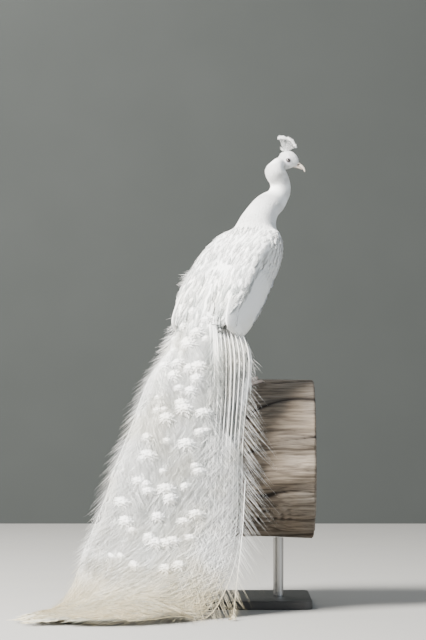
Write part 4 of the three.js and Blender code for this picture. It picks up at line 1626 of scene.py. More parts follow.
def stray_feather(rng):
    """One loose fishtail feather that hangs to the floor apart from the rest: its shaft and barb roots."""
    t = np.linspace(0, 1, 60)
    spine = through(np.array(STRAY_LINE, float), t) * MM
    lie = unit(np.gradient(spine, axis=0))
    side = unit(np.cross(lie, STRAY_FACING))
    out = np.cross(side, lie)
    shaft = strand(spine, side, out, (1.2 - 0.7 * t)[:, None] * MM, SHAFT_SECTION)
    roots = []
    for sign in (-1, 1):
        sparse = rng.uniform(0.25, 0.93, STRAY_BARBS)
        close = np.linspace(0.90, 1.0, STRAY_BARBS)
        at = np.concatenate([sparse, close])
        rooted = lambda values: np.stack([np.interp(at, t, values[:, k]) for k in range(3)], -1)
        prong = at >= 0.9
        angle = np.radians(np.where(prong, rng.uniform(8, 30, len(at)), 36))[:, None]
        aim = unit(rooted(lie) * np.cos(angle) + rooted(side) * sign * np.sin(angle))
        long = np.where(prong, rng.uniform(0.018, 0.032, len(at)), rng.uniform(0.012, 0.030, len(at)))
        wide = sizes().barb_width * np.where(prong, 0.8, 0.4)
        patch = patch_of("train", 0.1 + 0 * at, 0.1)
        size = np.stack([long, wide, wide], -1)
        roots.append((rooted(spine), aim, rooted(out) * sign, size, patch, 0 * at))
    return shaft, joined(roots)


def grounded(pieces):
    """Eases what would reach under the floor into a thin layer that lies on it."""
    for piece in pieces:
        points = coordinates(piece.data)
        z = points[:, 2]
        low = z < FLOOR_EASE
        points[low, 2] = FLOOR_GAP + (FLOOR_EASE - FLOOR_GAP) * np.exp((z[low] - FLOOR_EASE) / 0.012)
        move_to(piece.data, points)


def train_down():
    """The fine down between the train's feathers, in strands along it, with painted shade in the streaks
    between strands and over the right side.
    """
    made, nodes = new_material("train_down")
    position = nodes.position()
    across, along = nodes.tone("across"), nodes.tone("along")
    threads = nodes.add("ShaderNodeCombineXYZ", (), {"X": across * 70, "Y": along * 5})
    strands = nodes.noise(threads, 3.0, 5.0, 0.62, 0.3)
    # Painted shade over the right side, which faces away from the key lamp
    right_in_shade = across.between(0.22, 0.5) * 0.6
    white = tinted_white(nodes, position)
    # Painted shade in the streaks between the strands
    shade_streaked = nodes.mix(strands.between(0.40, 0.62) * 0.55, white, (0.52, 0.54, 0.51, 1))
    nodes.surface(
        Base_Color=nodes.mix(right_in_shade, shade_streaked, (0.46, 0.50, 0.50, 1)),
        Roughness=strands * 0.2 + 0.65,
        Normal=nodes.bump(strands, 0.004),
        Specular_IOR_Level=0.25,
    )
    return made


def build_underlay():
    """The close body of the train: narrower on the right near the floor, where it can be seen through."""
    t, angle = round_grid(150, 120, 0.085, 0.72)
    thin = -np.minimum(7.0, 0.5 * TRAIN.value("above", t)) - under_wings(t, np.cos(angle))
    over_tail = 32.0 * rising(t, 0.62, 0.09) * np.clip(-2 * np.sin(angle), 0, 1)
    thin = thin - over_tail
    open_right = falling(t, 0.46, 0.30) * np.clip(np.cos(angle), 0, 1)
    rings = TRAIN.at(t, angle, thin, 0.94 - 0.14 * falling(t, 0.5, 0.4) - 0.30 * open_right)
    rings[..., 2] = np.maximum(rings[..., 2], 0.0012)
    mesh = single("underlay", rings, patch_of("train", 0.5, 1.5), along=t, across=np.cos(angle))
    nodes = ("train_lower", "train_middle", "train_upper")
    keep("train_underlay", mesh, train_down(), nodes)


def build_train():
    """The train: an underlay and locks, then every long feather's shaft, barbs and pale eye."""
    finish = plumage("train_plumage", grain=700.0)
    rng = np.random.default_rng(SEED + 2)
    lines = feather_lines()
    build_underlay()

    shafts = Sheaf()
    for kind, tip, across, root_across, _ in lines:
        t, share = run_of(tip, across, root_across, 44)
        raised = 6.0 if kind == "long" else 1.4
        point, lie, out, _ = train_surface(t, share, raised + LIFT_PER_TIP * tip)
        side = unit(np.cross(lie, out))
        thick = 1.5 if kind == "long" else 0.85
        wide = (0.35 + thick * np.linspace(0, 1, 44) ** 0.5)[:, None] * MM
        patch = patch_of("train", t[20], math.acos(share[20]))
        shafts.add(strand(point, side, out, wide, SHAFT_SECTION), patch)
    stray_shaft, stray_roots = stray_feather(rng)
    shafts.add(stray_shaft, patch_of("train", 0.1, 0.1))
    pieces = [keep("train_shafts", shafts.mesh("shafts"), finish)]

    vane = vane_shell((0, 0.3, 0.65, 1), 0.5, 0.05, bend=0.12, camber=0.25, round_tip=0.1)
    with Template("lock", [vane], shade=0.3) as lock:
        pieces += lay("train_locks", lock, locks_of(rng), finish)
        pieces += lay("train_underside_locks", lock, underside_locks(rng), finish)
    straight = [barbs_of(line, rng) for line in lines if line[0] != "fishtail"]
    straight += [fringe_of(sign, rng) for sign in FRINGE] + [stray_roots, wisps(rng)]
    curled = [barbs_of(line, rng) for line in lines if line[0] == "fishtail"]
    curl = barb_shell(bend=-0.42, stations=(0, 0.33, 0.67, 1), taper=(1, 0.9, 0.7, 0.15))
    kinds = {"train_barbs": (straight, barb_shell(bend=-0.16)), "train_curls": (curled, curl)}
    for name, (gathered, shell) in kinds.items():
        with Template("barb", [shell], shade=0.15) as barb:
            pieces += lay(name, barb, joined(gathered), finish)

    bright = plumage("train_eye_plumage", grain=500.0, sheen=0.5)
    eyes = [line for line in lines if line[0] == "eye"]
    with Template("train eye", eye_shells(), shade=0.0) as tuft:
        pieces += lay("train_eyes", tuft, eye_roots(eyes, rng), bright)
    grounded(pieces)


EYE_LAYERS = [
    # reach, half width of the barbs, barbs, height
    (1.0, 0.022, 40, 0.0),
    (0.84, 0.034, 34, 0.05),
    (0.62, 0.046, 26, 0.09),
    (0.38, 0.052, 16, 0.12),
]


def eye_shells():
    """A train feather's eye: overlapping soft barbs in a rounded, slightly domed puff."""
    shells = []
    for reach, thick, count, lift in EYE_LAYERS:
        for k in range(count):
            turn = 2 * math.pi * (k + 0.5 * (count % 3)) / count
            s = np.array([0.05, 0.45, 0.82, 1.0])[:, None] * reach * (1 + 0.22 * ((k * 7) % 5 - 2) / 2)
            direction = np.array([math.cos(turn) * 0.72, math.sin(turn), 0])
            dome = lift - 0.16 * s**2
            spine = direction * s * 0.5 + np.array([0.10, 0, 0]) * s**2 + UP * dome
            across = unit(np.array([-direction[1], direction[0], 0]))
            wide = np.array([0.6, 1.0, 0.9, 0.3])[:, None] * thick
            shells.append(strand(spine, across, UP, wide, ((1, -0.3), (0, 0.45), (-1, -0.3))))
    return shells


def eye_roots(lines, rng):
    """Roots of the train feathers' eyes, each over its own shaft's tip."""
    gathered = []
    for _, tip, across, root_across, _ in lines:
        t, share = run_of(tip, across, root_across)
        lift = 6.0 + LIFT_PER_TIP * tip
        point, *_ = train_surface(t, share, lift)
        long = sizes().train_eye * rng.uniform(0.6, 1.35)
        bt, bs = back_along(point, np.array([long]), t, share)
        place, lie, out, _ = train_surface(bt, bs, lift)
        aim = lie + out * rng.uniform(-0.05, 0.12)
        size = np.array([[long * rng.uniform(0.9, 1.2), long * rng.uniform(0.85, 1.25), long]])
        patch = patch_of("train", bt, np.arccos(bs))
        gathered.append((place, unit(aim), out, size, patch, np.array([rng.uniform(0, 0.12)])))
    return joined(gathered)


# ---------------------------------------------------------------- the head's parts

CREST_ROOT = (-12, 31)  # forward and up in the head's frame
CREST_SWING = (-33, 50)
CREST_FEATHERS = 21
CROWN_BARBS = 9


def crest_feather(k, rng):
    """One feather of the crest: its bare shaft's rings and patch, and the roots of its barbs and tuft."""
    long = sizes().crest_length / MM
    share = k / (CREST_FEATHERS - 1)
    swing = math.radians(CREST_SWING[0] + (CREST_SWING[1] - CREST_SWING[0]) * share)
    lean = rng.uniform(-0.20, 0.20)
    reach = long * (0.84 - 0.18 * share) * rng.uniform(0.92, 1.05)
    start = np.array([rng.uniform(-1.5, 1.5), CREST_ROOT[0] + (share - 0.5) * 2.5, CREST_ROOT[1] - 2])
    heading = np.array([lean, math.sin(swing), math.cos(swing)])
    s = np.linspace(0, 1, 9)[:, None]
    arch = np.array([0, -math.cos(swing), math.sin(swing)]) * 2.0 * (s - s**2) * rng.uniform(-1, 1)
    spine = start + heading * (reach * s) + arch
    wide = 0.42 - 0.18 * s
    corners = [spine + wide * np.array(c) for c in ((1, 0, 0), (0, 0.87, 0.5), (0, -0.87, 0.5))]
    patch = patch_of("crest", share, 1.0)
    barb = np.array([0.0045, 0.0003, 0.0003])
    roots = []
    for along in np.linspace(0.45, 0.8, 5):
        for side in (-1, 1):
            flank = np.array([side * 0.5, math.cos(swing) * side, -math.sin(swing) * side])
            aim = unit(heading + flank * 0.45)
            roots.append(("barb", start + heading * reach * along, aim, (1, 0, 0), barb, patch))
    tuft = np.array([long * 0.21, long * 0.15, long * 0.15]) * MM
    size = tuft * rng.uniform(0.8, 1.15) * (1 - 0.25 * share)
    roots.append(("tuft", spine[-1] - heading * 3.0, heading, (1, 0.1, 0), size, patch))
    return np.stack(corners, 1), patch, roots


def crown_barb(rng):
    """The root of one of the short barbs that lean back at the crest's foot."""
    turn = math.radians(-52 + rng.uniform(-16, 16))
    aim = np.array([rng.uniform(-0.3, 0.3), math.sin(turn), math.cos(turn)])
    root = np.array([rng.uniform(-3, 3), CREST_ROOT[0] - 5 + rng.uniform(-3, 3), CREST_ROOT[1]])
    size = np.array([0.016, 0.0012, 0.0012]) * rng.uniform(0.7, 1.2)
    return "barb", root, aim, (1, 0, 0), size, patch_of("crest", 0.1, 2.0)


def build_crest():
    """Bare shafts that stand in an upright fan, each tipped with a soft tuft."""
    finish = plumage("crest_plumage", grain=1100.0)
    rng = np.random.default_rng(SEED + 3)
    shafts, roots = Sheaf(), []
    for k in range(CREST_FEATHERS):
        shaft, patch, grown_on_it = crest_feather(k, rng)
        shafts.add(from_head(shaft) * MM, patch)
        roots += grown_on_it
    roots += [crown_barb(rng) for _ in range(CROWN_BARBS)]
    keep("crest_shafts", shafts.mesh("crest"), finish, ("crest",))
    for kind, shells in {"tuft": tuft_shells(), "barb": [barb_shell(bend=0.1)]}.items():
        chosen = [root[1:] for root in roots if root[0] == kind]
        place, aim, out, size, patch = (np.array(column, float) for column in zip(*chosen))
        laid = (from_head(place) * MM, aim @ HEAD_TURNED.T, out @ HEAD_TURNED.T, size, patch, 0 * size[:, 0])
        with Template(kind, shells) as template:
            lay(f"crest_{kind}s", template, laid, finish)


def tuft_shells():
    """A crest feather's tip: a flat fan of short barbs in two layers."""
    shells = []
    for layer, (count, swing, reach) in enumerate([(11, 66, 1.0), (7, 46, 0.8)]):
        for k in range(count):
            turn = math.radians(-swing + 2 * swing * k / (count - 1))
            s = np.array([0.0, 0.45, 0.8, 1.0])[:, None] * reach * (1 - 0.14 * abs(math.sin(turn)))
            direction = np.array([math.cos(turn), math.sin(turn), 0])
            spine = direction * s + UP * (0.05 * layer - 0.03)
            across = np.array([-direction[1], direction[0], 0])
            wide = np.array([0.02, 0.046, 0.050, 0.012])[:, None]
            shells.append(strand(spine, across, UP, wide, ((1, 0), (0, 0.6), (-1, 0))))
    return shells


def bill_horn():
    """Pale pink horn, greyer at its base, with painted shade in the nostrils."""
    made, nodes = new_material("bill_horn")
    grain = nodes.noise(nodes.position(), 500.0, 3.0)
    pink = nodes.mix(grain * 0.4, paint("bill"), (0.88, 0.78, 0.68, 1))
    greyer = nodes.mix(nodes.tone("base") * 0.55, pink, (0.62, 0.56, 0.56, 1))
    nodes.surface(
        # Painted shade in the nostril slits, as deep as they are pressed in
        Base_Color=nodes.mix(nodes.tone("pit"), greyer, (0.03, 0.02, 0.018, 1)),
        Roughness=grain * 0.15 + 0.34,
        Normal=nodes.bump(grain, 0.0002),
        Coat_Weight=0.2,
    )
    return made


def nostrils(local):
    """Presses the nostrils' slits into points of the head's frame, and returns how deep in one each lies."""
    ahead, up = local[..., 1] - NOSTRIL_AT[1], local[..., 2] - NOSTRIL_AT[2]
    along, across = ahead + 0.5 * up, up - 0.35 * ahead
    slit = np.exp(-((along / 5.0) ** 2) - (across / 2.3) ** 2)
    rim = np.exp(-((along / 6.2) ** 2) - (across / 3.6) ** 2)
    local[..., 0] -= np.sign(local[..., 0]) * (2.2 * slit - 0.7 * rim) * (np.abs(local[..., 0]) > 2)
    return np.clip(slit * 3.2 - 0.5, 0, 1)


def build_bill():
    """Both halves of the bill: a hooked upper one with nostrils, and a plain lower one."""
    finish = bill_horn()
    t, angle = round_grid(60, 56)
    for name, form in {"upper": UPPER_BILL, "lower": LOWER_BILL}.items():
        local = to_head(form.at(t, angle, -0.1 - 1.2 * (1 - t)) / MM)
        near_face = falling(local[..., 1], 40, 12)
        deep = 0.0
        if name == "upper":
            deep = nostrils(local)
        else:
            local[..., 2] += 1.2
        mesh = single("bill", from_head(local) * MM, pit=deep, base=near_face)
        keep(f"bill_{name}_horn", mesh, finish, (f"bill_{name}",))


def eye_gloss():
    """A wet dark eye, whose pupil and iris are told apart by the distance from its axis."""
    made, nodes = new_material("eye_gloss")
    flecks = nodes.noise(nodes.position(), 1800.0, 2.0)
    iris = nodes.mix(flecks, paint("iris"), (0.045, 0.028, 0.018, 1))
    outside_pupil = (nodes.tone("off_axis") + (flecks - 0.5) * 0.04).between(0.42, 0.5)
    nodes.surface(
        Base_Color=nodes.mix(outside_pupil, (0.004, 0.004, 0.005, 1), iris),
        Roughness=flecks * 0.03 + 0.04,
        Coat_Weight=1.0,
        Coat_Roughness=0.02,
    )
    return made


def build_eyes():
    """Dark glossy eyes: a ball with a low cornea on each side of the head."""
    finish = eye_gloss()
    away, turn = round_grid(32, 36, 0.02, math.pi - 0.02)
    reach = sizes().eye_radius / MM - 0.05 + 0.5 * np.exp(-((away / 0.45) ** 2))
    off_axis = np.sin(np.minimum(away, math.pi / 2))
    for side, sign in SIDES.items():
        x = sign * (EYE_AT[0] + reach * np.cos(away) + 0 * turn)
        y = EYE_AT[1] + reach * np.sin(away) * np.cos(turn)
        z = EYE_AT[2] + reach * np.sin(away) * np.sin(turn)
        mesh = single("eye", from_head(np.stack([x, y, z], -1)) * MM, off_axis=off_axis)
        keep(f"eyeball_{side}", mesh, finish, (f"eye_{side}",))


# ---------------------------------------------------------------- legs

PERCH_CREST = 700
PERCH_RADIUS = 250
PERCH_LENGTH = 480
PERCH_CENTRE = (-34, 47)
PERCH_TURN = math.radians(36)
CUT_ROUNDING = 5  # of the edge round each sawn face
CUT_RINGS = (0.985, 0.8, 0.55, 0.3, 0.08)  # radii of a sawn face's rings, as shares of its edge's
TOES = [
    # name, degrees outward from straight ahead, length without the claw, radius at the root
    ("middle", 4, 70, 6.4),
    ("inner", -32, 48, 5.8),
    ("outer", 36, 50, 5.6),
    ("hind", 172, 21, 4.6),
]
CLAW_LENGTH, CLAW_RADIUS, CLAW_DROP = 15, 3.2, 5
SPUR_HEIGHT, SPUR_LENGTH, SPUR_RADIUS = 52, 19, 5
SCALE_PITCH = 2.6  # of the small scales
SCALES_ROUND = 9


def bark_radius(angle, place):
    """The solid trunk's radius at an angle round it and a place along it, in millimetres."""
    fade = 1 - np.maximum(0, np.sin(angle)) ** 6
    twist = angle + place * 0.0006
    lobes = 0.035 * np.sin(2 * twist + 0.6) + 0.025 * np.sin(5 * twist + 2)
    furrows = 0.018 * np.sin(13 * twist + 1) + 0.012 * np.sin(19 * twist + place * 0.004)
    return PERCH_RADIUS * (1 + fade * (lobes + furrows - 0.02))


def perch_height(x, y):
    """Height of the trunk's top over a point of the floor."""
    dx, dy = x - PERCH_CENTRE[0], y - PERCH_CENTRE[1]
    place = dx * math.cos(PERCH_TURN) + dy * math.sin(PERCH_TURN)
    across = -dx * math.sin(PERCH_TURN) + dy * math.cos(PERCH_TURN)
    angle = math.acos(max(-1, min(1, across / PERCH_RADIUS)))
    radius = float(bark_radius(angle, place))
    return PERCH_CREST - PERCH_RADIUS + math.sqrt(max(0, radius**2 - across**2))


def shank_form(sign, sole):
    return Form(
        [
            ring(sign * STANCE, 0, sole + 12, 10, 9, 9),
            ring(sign * (STANCE + 0.5), -9, sole + 38, 6.6, 8, 8),
            ring(sign * (STANCE + 1.5), -32, sole + 95, 6.6, 8, 8.5),
            ring(sign * (STANCE + 2), -46, sole + 128, 9.5, 11.5, 11.5),
            ring(sign * (STANCE + 2), -44, sole + 150, 6, 7, 7),
        ]
    )


def toe_line(sign, outward, toe_length, radius):
    """A toe's heading and its stations along the bark."""
    heading = FOOT_TURN + math.radians(sign * outward)
    stations = []
    for t in (0, 0.3, 0.65, 1):
        x = sign * STANCE + math.sin(heading) * toe_length * t
        y = math.cos(heading) * toe_length * t
        thick = radius * (1.1 - 0.32 * t)
        z = perch_height(x, y) + thick * 0.86
        stations.append(ring(x, y, z, thick, thick, thick, turn=math.degrees(heading)))
    return heading, stations


def plated(form, count, sides, plate, front, depth=0.55):
    """Rings of a form whose front is covered by overlapping plates, and the rest by small scales."""
    t, angle = round_grid(count, sides)
    walked = walked_along(through(form.spine, t[:, 0]))[:, None]
    facing = np.clip(front * np.sin(angle) * 1.8, 0, 1)
    steps = 1 - (walked / plate) % 1.0
    row = np.round(walked / SCALE_PITCH) * math.pi
    scales = 0.35 * np.sin(walked * 2 * math.pi / SCALE_PITCH) * np.sin(angle * SCALES_ROUND + row)
    grow = depth * steps * facing + 0.5 * scales * (1 - facing)
    return form.at(t, angle, grow)


def leg_scales():
    """Scaled skin, darker in the joints between its scales."""
    made, nodes = new_material("leg_scales")
    position = nodes.position()
    settings = {"feature": "DISTANCE_TO_EDGE"}
    cells = nodes.add("ShaderNodeTexVoronoi", settings, {"Vector": position, "Scale": 420.0})
    mottled = nodes.noise(position, 120.0, 3.0)
    lighter = nodes.mix(mottled, paint("leg"), (0.72, 0.60, 0.52, 1))
    joints = 1 - cells.between(0.0, 0.16)
    nodes.surface(
        Base_Color=nodes.mix(joints * 0.45, lighter, (0.36, 0.26, 0.21, 1)),
        Roughness=mottled * 0.2 + 0.45,
        Normal=nodes.bump(cells.between(0.0, 0.25), 0.0004),
    )
    return made


def build_legs():
    """Each shank and foot as one scaled piece, with plates down the front and over the toes."""
    finish = leg_scales()
    for side, sign in SIDES.items():
        sole = perch_height(sign * STANCE, 0)
        sheaf = Sheaf()
        sheaf.add(plated(shank_form(sign, sole), 120, 28, 7.0, front=-1))
        for _, outward, toe_length, radius in TOES:
            _, stations = toe_line(sign, outward, toe_length, radius)
            sheaf.add(plated(Form(stations), 60, 20, 4.2, front=1, depth=0.45))
        keep(f"leg_{side}", sheaf.mesh("leg"), finish, (f"shank_{side}", f"foot_{side}"))


def horn_shell(start, ahead, long, radius, drop, taper):
    """A curved tapering claw or spur that drops, or rises, towards its tip."""
    s = np.linspace(0, 1, 14)
    turn = np.linspace(0, 2 * math.pi, 16, endpoint=False)
    ahead = unit(np.array(ahead, float))
    side = unit(np.cross(ahead, (0, 0, 1)))
    up = np.cross(side, ahead)
    spine = np.array(start) + ahead * (long * s[:, None]) - UP * (drop * s[:, None] ** 2)
    wide = radius * (1 - taper * s)[:, None, None]
    round_it = side * np.cos(turn)[:, None] * 0.85 + up * np.sin(turn)[:, None]
    return (spine[:, None, :] + round_it[None, :, :] * wide) * MM


def claw_horn():
    """Streaked horn of the claws and spurs."""
    made, nodes = new_material("claw_horn")
    streaks = nodes.noise(nodes.position(), 260.0, 4.0, 0.6, 1.2)
    nodes.surface(
        Base_Color=nodes.mix(streaks, paint("horn"), (0.66, 0.58, 0.50, 1)),
        Roughness=streaks * 0.2 + 0.3,
        Normal=nodes.bump(streaks, 0.0003),
    )
    return made


def build_claws():
    """Curved claws on every toe, and a spur on each shank."""
    finish = claw_horn()
    for side, sign in SIDES.items():
        for name, outward, toe_length, radius in TOES:
            heading, stations = toe_line(sign, outward, toe_length, radius)
            ahead = (math.sin(heading), math.cos(heading), 0)
            start = np.array(stations[-1]["at"]) + (0, 0, 0.6) - np.array(ahead) * 1.5
            claw = horn_shell(start, ahead, CLAW_LENGTH + 1.5, CLAW_RADIUS, CLAW_DROP, 0.9)
            keep(f"nail_{side}_{name}", single("claw", claw), finish, (f"claw_{side}_{name}",))
        root = (sign * (STANCE - 4), -16, perch_height(sign * STANCE, 0) + SPUR_HEIGHT)
        spur = horn_shell(root, (-sign * 0.45, -1, 0), SPUR_LENGTH, SPUR_RADIUS, -3, 0.88)
        keep(f"leg_spur_{side}", single("spur", spur), finish, (f"spur_{side}",))


# ---------------------------------------------------------------- the perch and stand


def furrow_depth(angle, place):
    """How deep the weathered grain is cut, in millimetres: long ridges between sharp, wandering cracks."""
    rng = np.random.default_rng(SEED + 5)
    wander = 0.09 * np.sin(place / 150 + 1.1) + 0.03 * np.sin(place / 61 + 2 * angle) + 0.0008 * place
    knot_at, knot_size = (3.9, 90), (0.30, 62)
    away = np.hypot((angle - knot_at[0]) / knot_size[0], (place - knot_at[1]) / knot_size[1])
    wander = wander + 0.22 * np.exp(-(away**2)) * np.sign(angle - knot_at[0])
    depth = np.zeros(np.broadcast(angle, place).shape)
    for waves, deep, sharp in ((11, 13.0, 0.30), (25, 9.0, 0.32), (51, 5.0, 0.35), (101, 2.4, 0.45)):
        phase, drift, slip = rng.uniform(0, 6.28, 3)
        swell = 0.5 + 0.5 * np.sin(3 * angle + place / 120 + drift) * np.sin(place / 90 + 5 * angle + slip)
        bend = 0.5 * np.sin(place / 110 + drift) + 0.16 * np.sin(place / 37 + 4 * angle + slip)
        wave = np.abs(np.sin(waves * (angle + wander) / 2 + phase + bend))
        depth = depth + deep * (0.3 + 0.7 * swell) * (1 - wave**sharp)
    return depth + 5 * np.exp(-(away**2)) * (0.5 + 0.5 * np.cos(16 * away))


def cut_face(place, edge):
    """Rings of a sawn face, rounder towards the pith: their place, radius, furrow depth, and 1 for an end."""
    return [(place, k * (k * edge + (1 - k) * edge.mean()), 0.0, 1.0) for k in CUT_RINGS]


def weathered_wood():
    """Sun-bleached ridges over furrows along the trunk, darkened by their own wood and by painted shade, and
    growth rings on its cut ends.
    """
    made, nodes = new_material("weathered_wood")
    position = nodes.position()
    end = nodes.tone("end")
    along = nodes.add(
        "ShaderNodeMapping",
        {"vector_type": "TEXTURE"},
        {"Vector": position, "Rotation": (0, 0, PERCH_TURN), "Scale": (1.0, 0.07, 0.07)},
    )
    grain = nodes.noise(along, 9.0, 6.0, 0.6, 0.3)
    fine = nodes.noise(along, 34.0, 4.0, 0.6)
    patches = nodes.noise(position, 8.0, 3.0)
    greyed = nodes.mix(patches.between(0.35, 0.7) * 0.6, paint("wood_light"), (0.190, 0.176, 0.155, 1))
    grained = nodes.mix(grain.between(0.36, 0.66) * 0.75, greyed, (0.060, 0.044, 0.031, 1))
    # Darker towards the furrows' bottoms: their own darker wood, and painted shade
    side = nodes.mix(nodes.tone("depth").between(0.12, 0.62), grained, paint("furrow_dark_and_shade"))
    rings = (nodes.tone("reach") * 420 + nodes.noise(position, 14.0, 2.0) * 9).sine() * 0.5 + 0.5
    cut = nodes.mix(rings * 0.45 + patches * 0.3, (0.30, 0.235, 0.165, 1), (0.16, 0.118, 0.08, 1))
    nodes.surface(
        Base_Color=nodes.mix(end, side, cut),
        Roughness=fine * 0.2 + 0.72,
        Normal=nodes.bump(grain * 0.6 + fine * 0.4 + rings * end * 0.15, 0.0022),
        Specular_IOR_Level=0.3,
    )
    return made


def build_perch():
    """The trunk: long furrows wander round it, and its cut ends show rings and cracks."""
    half = PERCH_LENGTH / 2
    place, angle = round_grid(110, 560, -half, half)
    standing = np.exp(-((place - 10) / 110) ** 4 - ((angle - math.pi / 2) / 0.42) ** 4)
    cut_depth = furrow_depth(angle, place) * (1 - 0.72 * standing)
    radius = bark_radius(angle, place) - cut_depth
    rounded = CUT_ROUNDING * rising(np.abs(place), half - CUT_ROUNDING, CUT_ROUNDING) ** 2
    walls = (place, radius - rounded, np.clip(cut_depth / 16, 0, 1), 0.0)
    caps = cut_face(half, radius[-1:] - CUT_ROUNDING)
    first = cut_face(-half, radius[:1] - CUT_ROUNDING)[::-1]
    parts, tones = [], {"depth": [], "end": [], "reach": []}
    for along_it, around, deep, ended in (*first, walls, *caps):
        along_it, around = np.broadcast_arrays(along_it, around)
        parts.append(np.stack([along_it, around * np.cos(angle), around * np.sin(angle)], -1))
        for name, values in (("depth", deep), ("end", ended), ("reach", around * MM)):
            tones[name].append(np.broadcast_to(values, around.shape))
    turn = np.array(Matrix.Rotation(PERCH_TURN, 3, "Z"))
    centre = np.array([*PERCH_CENTRE, PERCH_CREST - PERCH_RADIUS])
    rings = (np.concatenate(parts) @ turn.T + centre) * MM
    mesh = single("perch", rings, **{name: np.concatenate(values) for name, values in tones.items()})
    keep("perch_trunk", mesh, weathered_wood(), ("stand_perch",))


def stand_coating():
    """Dark satin coating with faint scuffs."""
    made, nodes = new_material("stand_coating")
    position = nodes.position()
    scuffs = nodes.noise(position, 30.0, 5.0, 0.7).between(0.55, 0.8)
    nodes.surface(
        Base_Color=nodes.mix(scuffs * 0.25, paint("stand"), (0.10, 0.10, 0.095, 1)),
        Roughness=scuffs * 0.15 + 0.42,
        Normal=nodes.bump(nodes.noise(position, 900.0, 2.0), 0.00015),
    )
    return made


def brushed_rod():
    """Brushed metal, its fine lines along the rods."""
    made, nodes = new_material("brushed_rod")
    stretched = {"Vector": nodes.position(), "Scale": (60.0, 60.0, 1.5)}
    lines = nodes.noise(nodes.add("ShaderNodeMapping", (), stretched), 14.0, 3.0)
    nodes.surface(
        Base_Color=nodes.mix(lines * 0.3, paint("rod"), (0.34, 0.33, 0.32, 1)),
        Metallic=1.0,
        Roughness=lines * 0.18 + 0.26,
        Normal=nodes.bump(lines, 0.0001),
    )
    return made


def build_stand():
    """Finishes for the display base and rods, which keep their solids' shapes."""
    rod = brushed_rod()
    finishes = {"stand_base": stand_coating(), "stand_rod_1": rod, "stand_rod_2": rod}
    for node, finish in finishes.items():
        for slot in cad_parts[node].material_slots:
            slot.material = finish


# ---------------------------------------------------------------- the studio

CAMERA_AWAY = 8.0
CAMERA_HEIGHT = 0.76
CAMERA_TURN = math.radians(36)
CAMERA_ASIDE = 0.0735
SIGHT_HEIGHT = 0.884  # of the middle of the view, over the bird
FRAME_HEIGHT = 1.984  # shown at the bird's distance
SENSOR = 36.0


def studio_paint(name):
    """Matt paint that hides nothing from behind."""
    made, nodes = new_material(f"{name}_paint")
    mottle = nodes.noise(nodes.position(), 3.0, 4.0)
    plain = paint(name)
    darker = tuple(c * 0.93 for c in plain[:3]) + (1,)
    nodes.surface(
        Base_Color=nodes.mix(mottle, plain, darker),
        Roughness=mottle * 0.1 + 0.85,
        Alpha=1 - nodes.add("ShaderNodeNewGeometry", (), (), "Backfacing"),
    )
    return made


def aimed(name, data, place, sight):
    """A lamp or a camera at its place, turned along its line of sight."""
    made = new_object(name, data)
    made.location = place
    made.rotation_euler = sight.to_track_quat("-Z", "Y").to_euler()
    return made


LAMPS = {
    # name: place across, along the view and up, size, power, colour
    "key": ((-3.6, -2.2, 4.0), 2.0, 2000, (1.0, 0.975, 0.94)),
    "fill": ((3.8, -2.6, 2.2), 3.0, 80, (0.74, 0.87, 1.0)),
    "rim": ((-1.6, 3.2, 3.4), 2.0, 90, (1.0, 0.98, 0.95)),
}
LAMPS_AIM = Vector((0, 0, 0.8))
ROOM = 9.0  # half the width of the floor and of the backdrop
BACKDROP_AWAY = 4.0
SKY, SKY_STRENGTH = (0.86, 0.92, 1.0, 1), 0.47


def build_stage():
    """Pale floor, plain backdrop, soft lights, and the camera behind the bird's right side."""
    across = Vector((math.cos(CAMERA_TURN), math.sin(CAMERA_TURN), 0))
    look = Vector((-math.sin(CAMERA_TURN), math.cos(CAMERA_TURN), 0))
    left, right = (look * BACKDROP_AWAY + across * reach for reach in (-ROOM, ROOM))
    planes = {
        "floor": [(-ROOM, -ROOM, 0), (ROOM, -ROOM, 0), (ROOM, ROOM, 0), (-ROOM, ROOM, 0)],
        "backdrop": [(*left[:2], -0.01), (*right[:2], -0.01), (*right[:2], 7), (*left[:2], 7)],
    }
    for name, corners in planes.items():
        mesh = bpy.data.meshes.new(name)
        mesh.from_pydata(corners, [], [(0, 1, 2, 3)])
        mesh.materials.append(studio_paint(name))
        new_object(name, mesh)

    for name, ((aside, ahead, up), size, power, tint) in LAMPS.items():
        light = bpy.data.lights.new(name, "AREA")
        light.size = size
        light.energy = power
        light.color = tint
        place = across * aside + look * ahead + Vector((0, 0, up))
        aimed(name, light, place, LAMPS_AIM - place)
    world = bpy.data.worlds.new("studio")
    world.use_nodes = True
    sky = world.node_tree.nodes["Background"].inputs
    sky["Color"].default_value = SKY
    sky["Strength"].default_value = SKY_STRENGTH
    bpy.context.scene.world = world

    camera = bpy.data.cameras.new("camera")
    camera.sensor_width = SENSOR
    camera.lens = SENSOR * CAMERA_AWAY / FRAME_HEIGHT
    camera.clip_end = 60
    place = -look * CAMERA_AWAY - across * CAMERA_ASIDE + Vector((0, 0, CAMERA_HEIGHT))
    sight = look * CAMERA_AWAY + Vector((0, 0, SIGHT_HEIGHT - CAMERA_HEIGHT))
    bpy.context.scene.camera = aimed("camera", camera, place, sight)


# ---------------------------------------------------------------- the add-on


class PEACOCK_OT_skin(bpy.types.Operator):
    """One skin over the flesh, with the coat of small feathers over it"""

    bl_idname = "peacock.skin"
    bl_label = "Skin and coat"

    def execute(self, context):
        flesh = ("trunk", "neck_lower", "neck_upper", "head", "thigh_left", "thigh_right")
        mesh = build_skin()
        store(mesh, "bare", "FLOAT", bareness(coordinates(mesh)))
        store(mesh, "margin", "FLOAT", lid_margin(coordinates(mesh)))
        skin = keep("skin", mesh, skin_finish(), flesh)
        build_coat(skin)
        return {"FINISHED"}


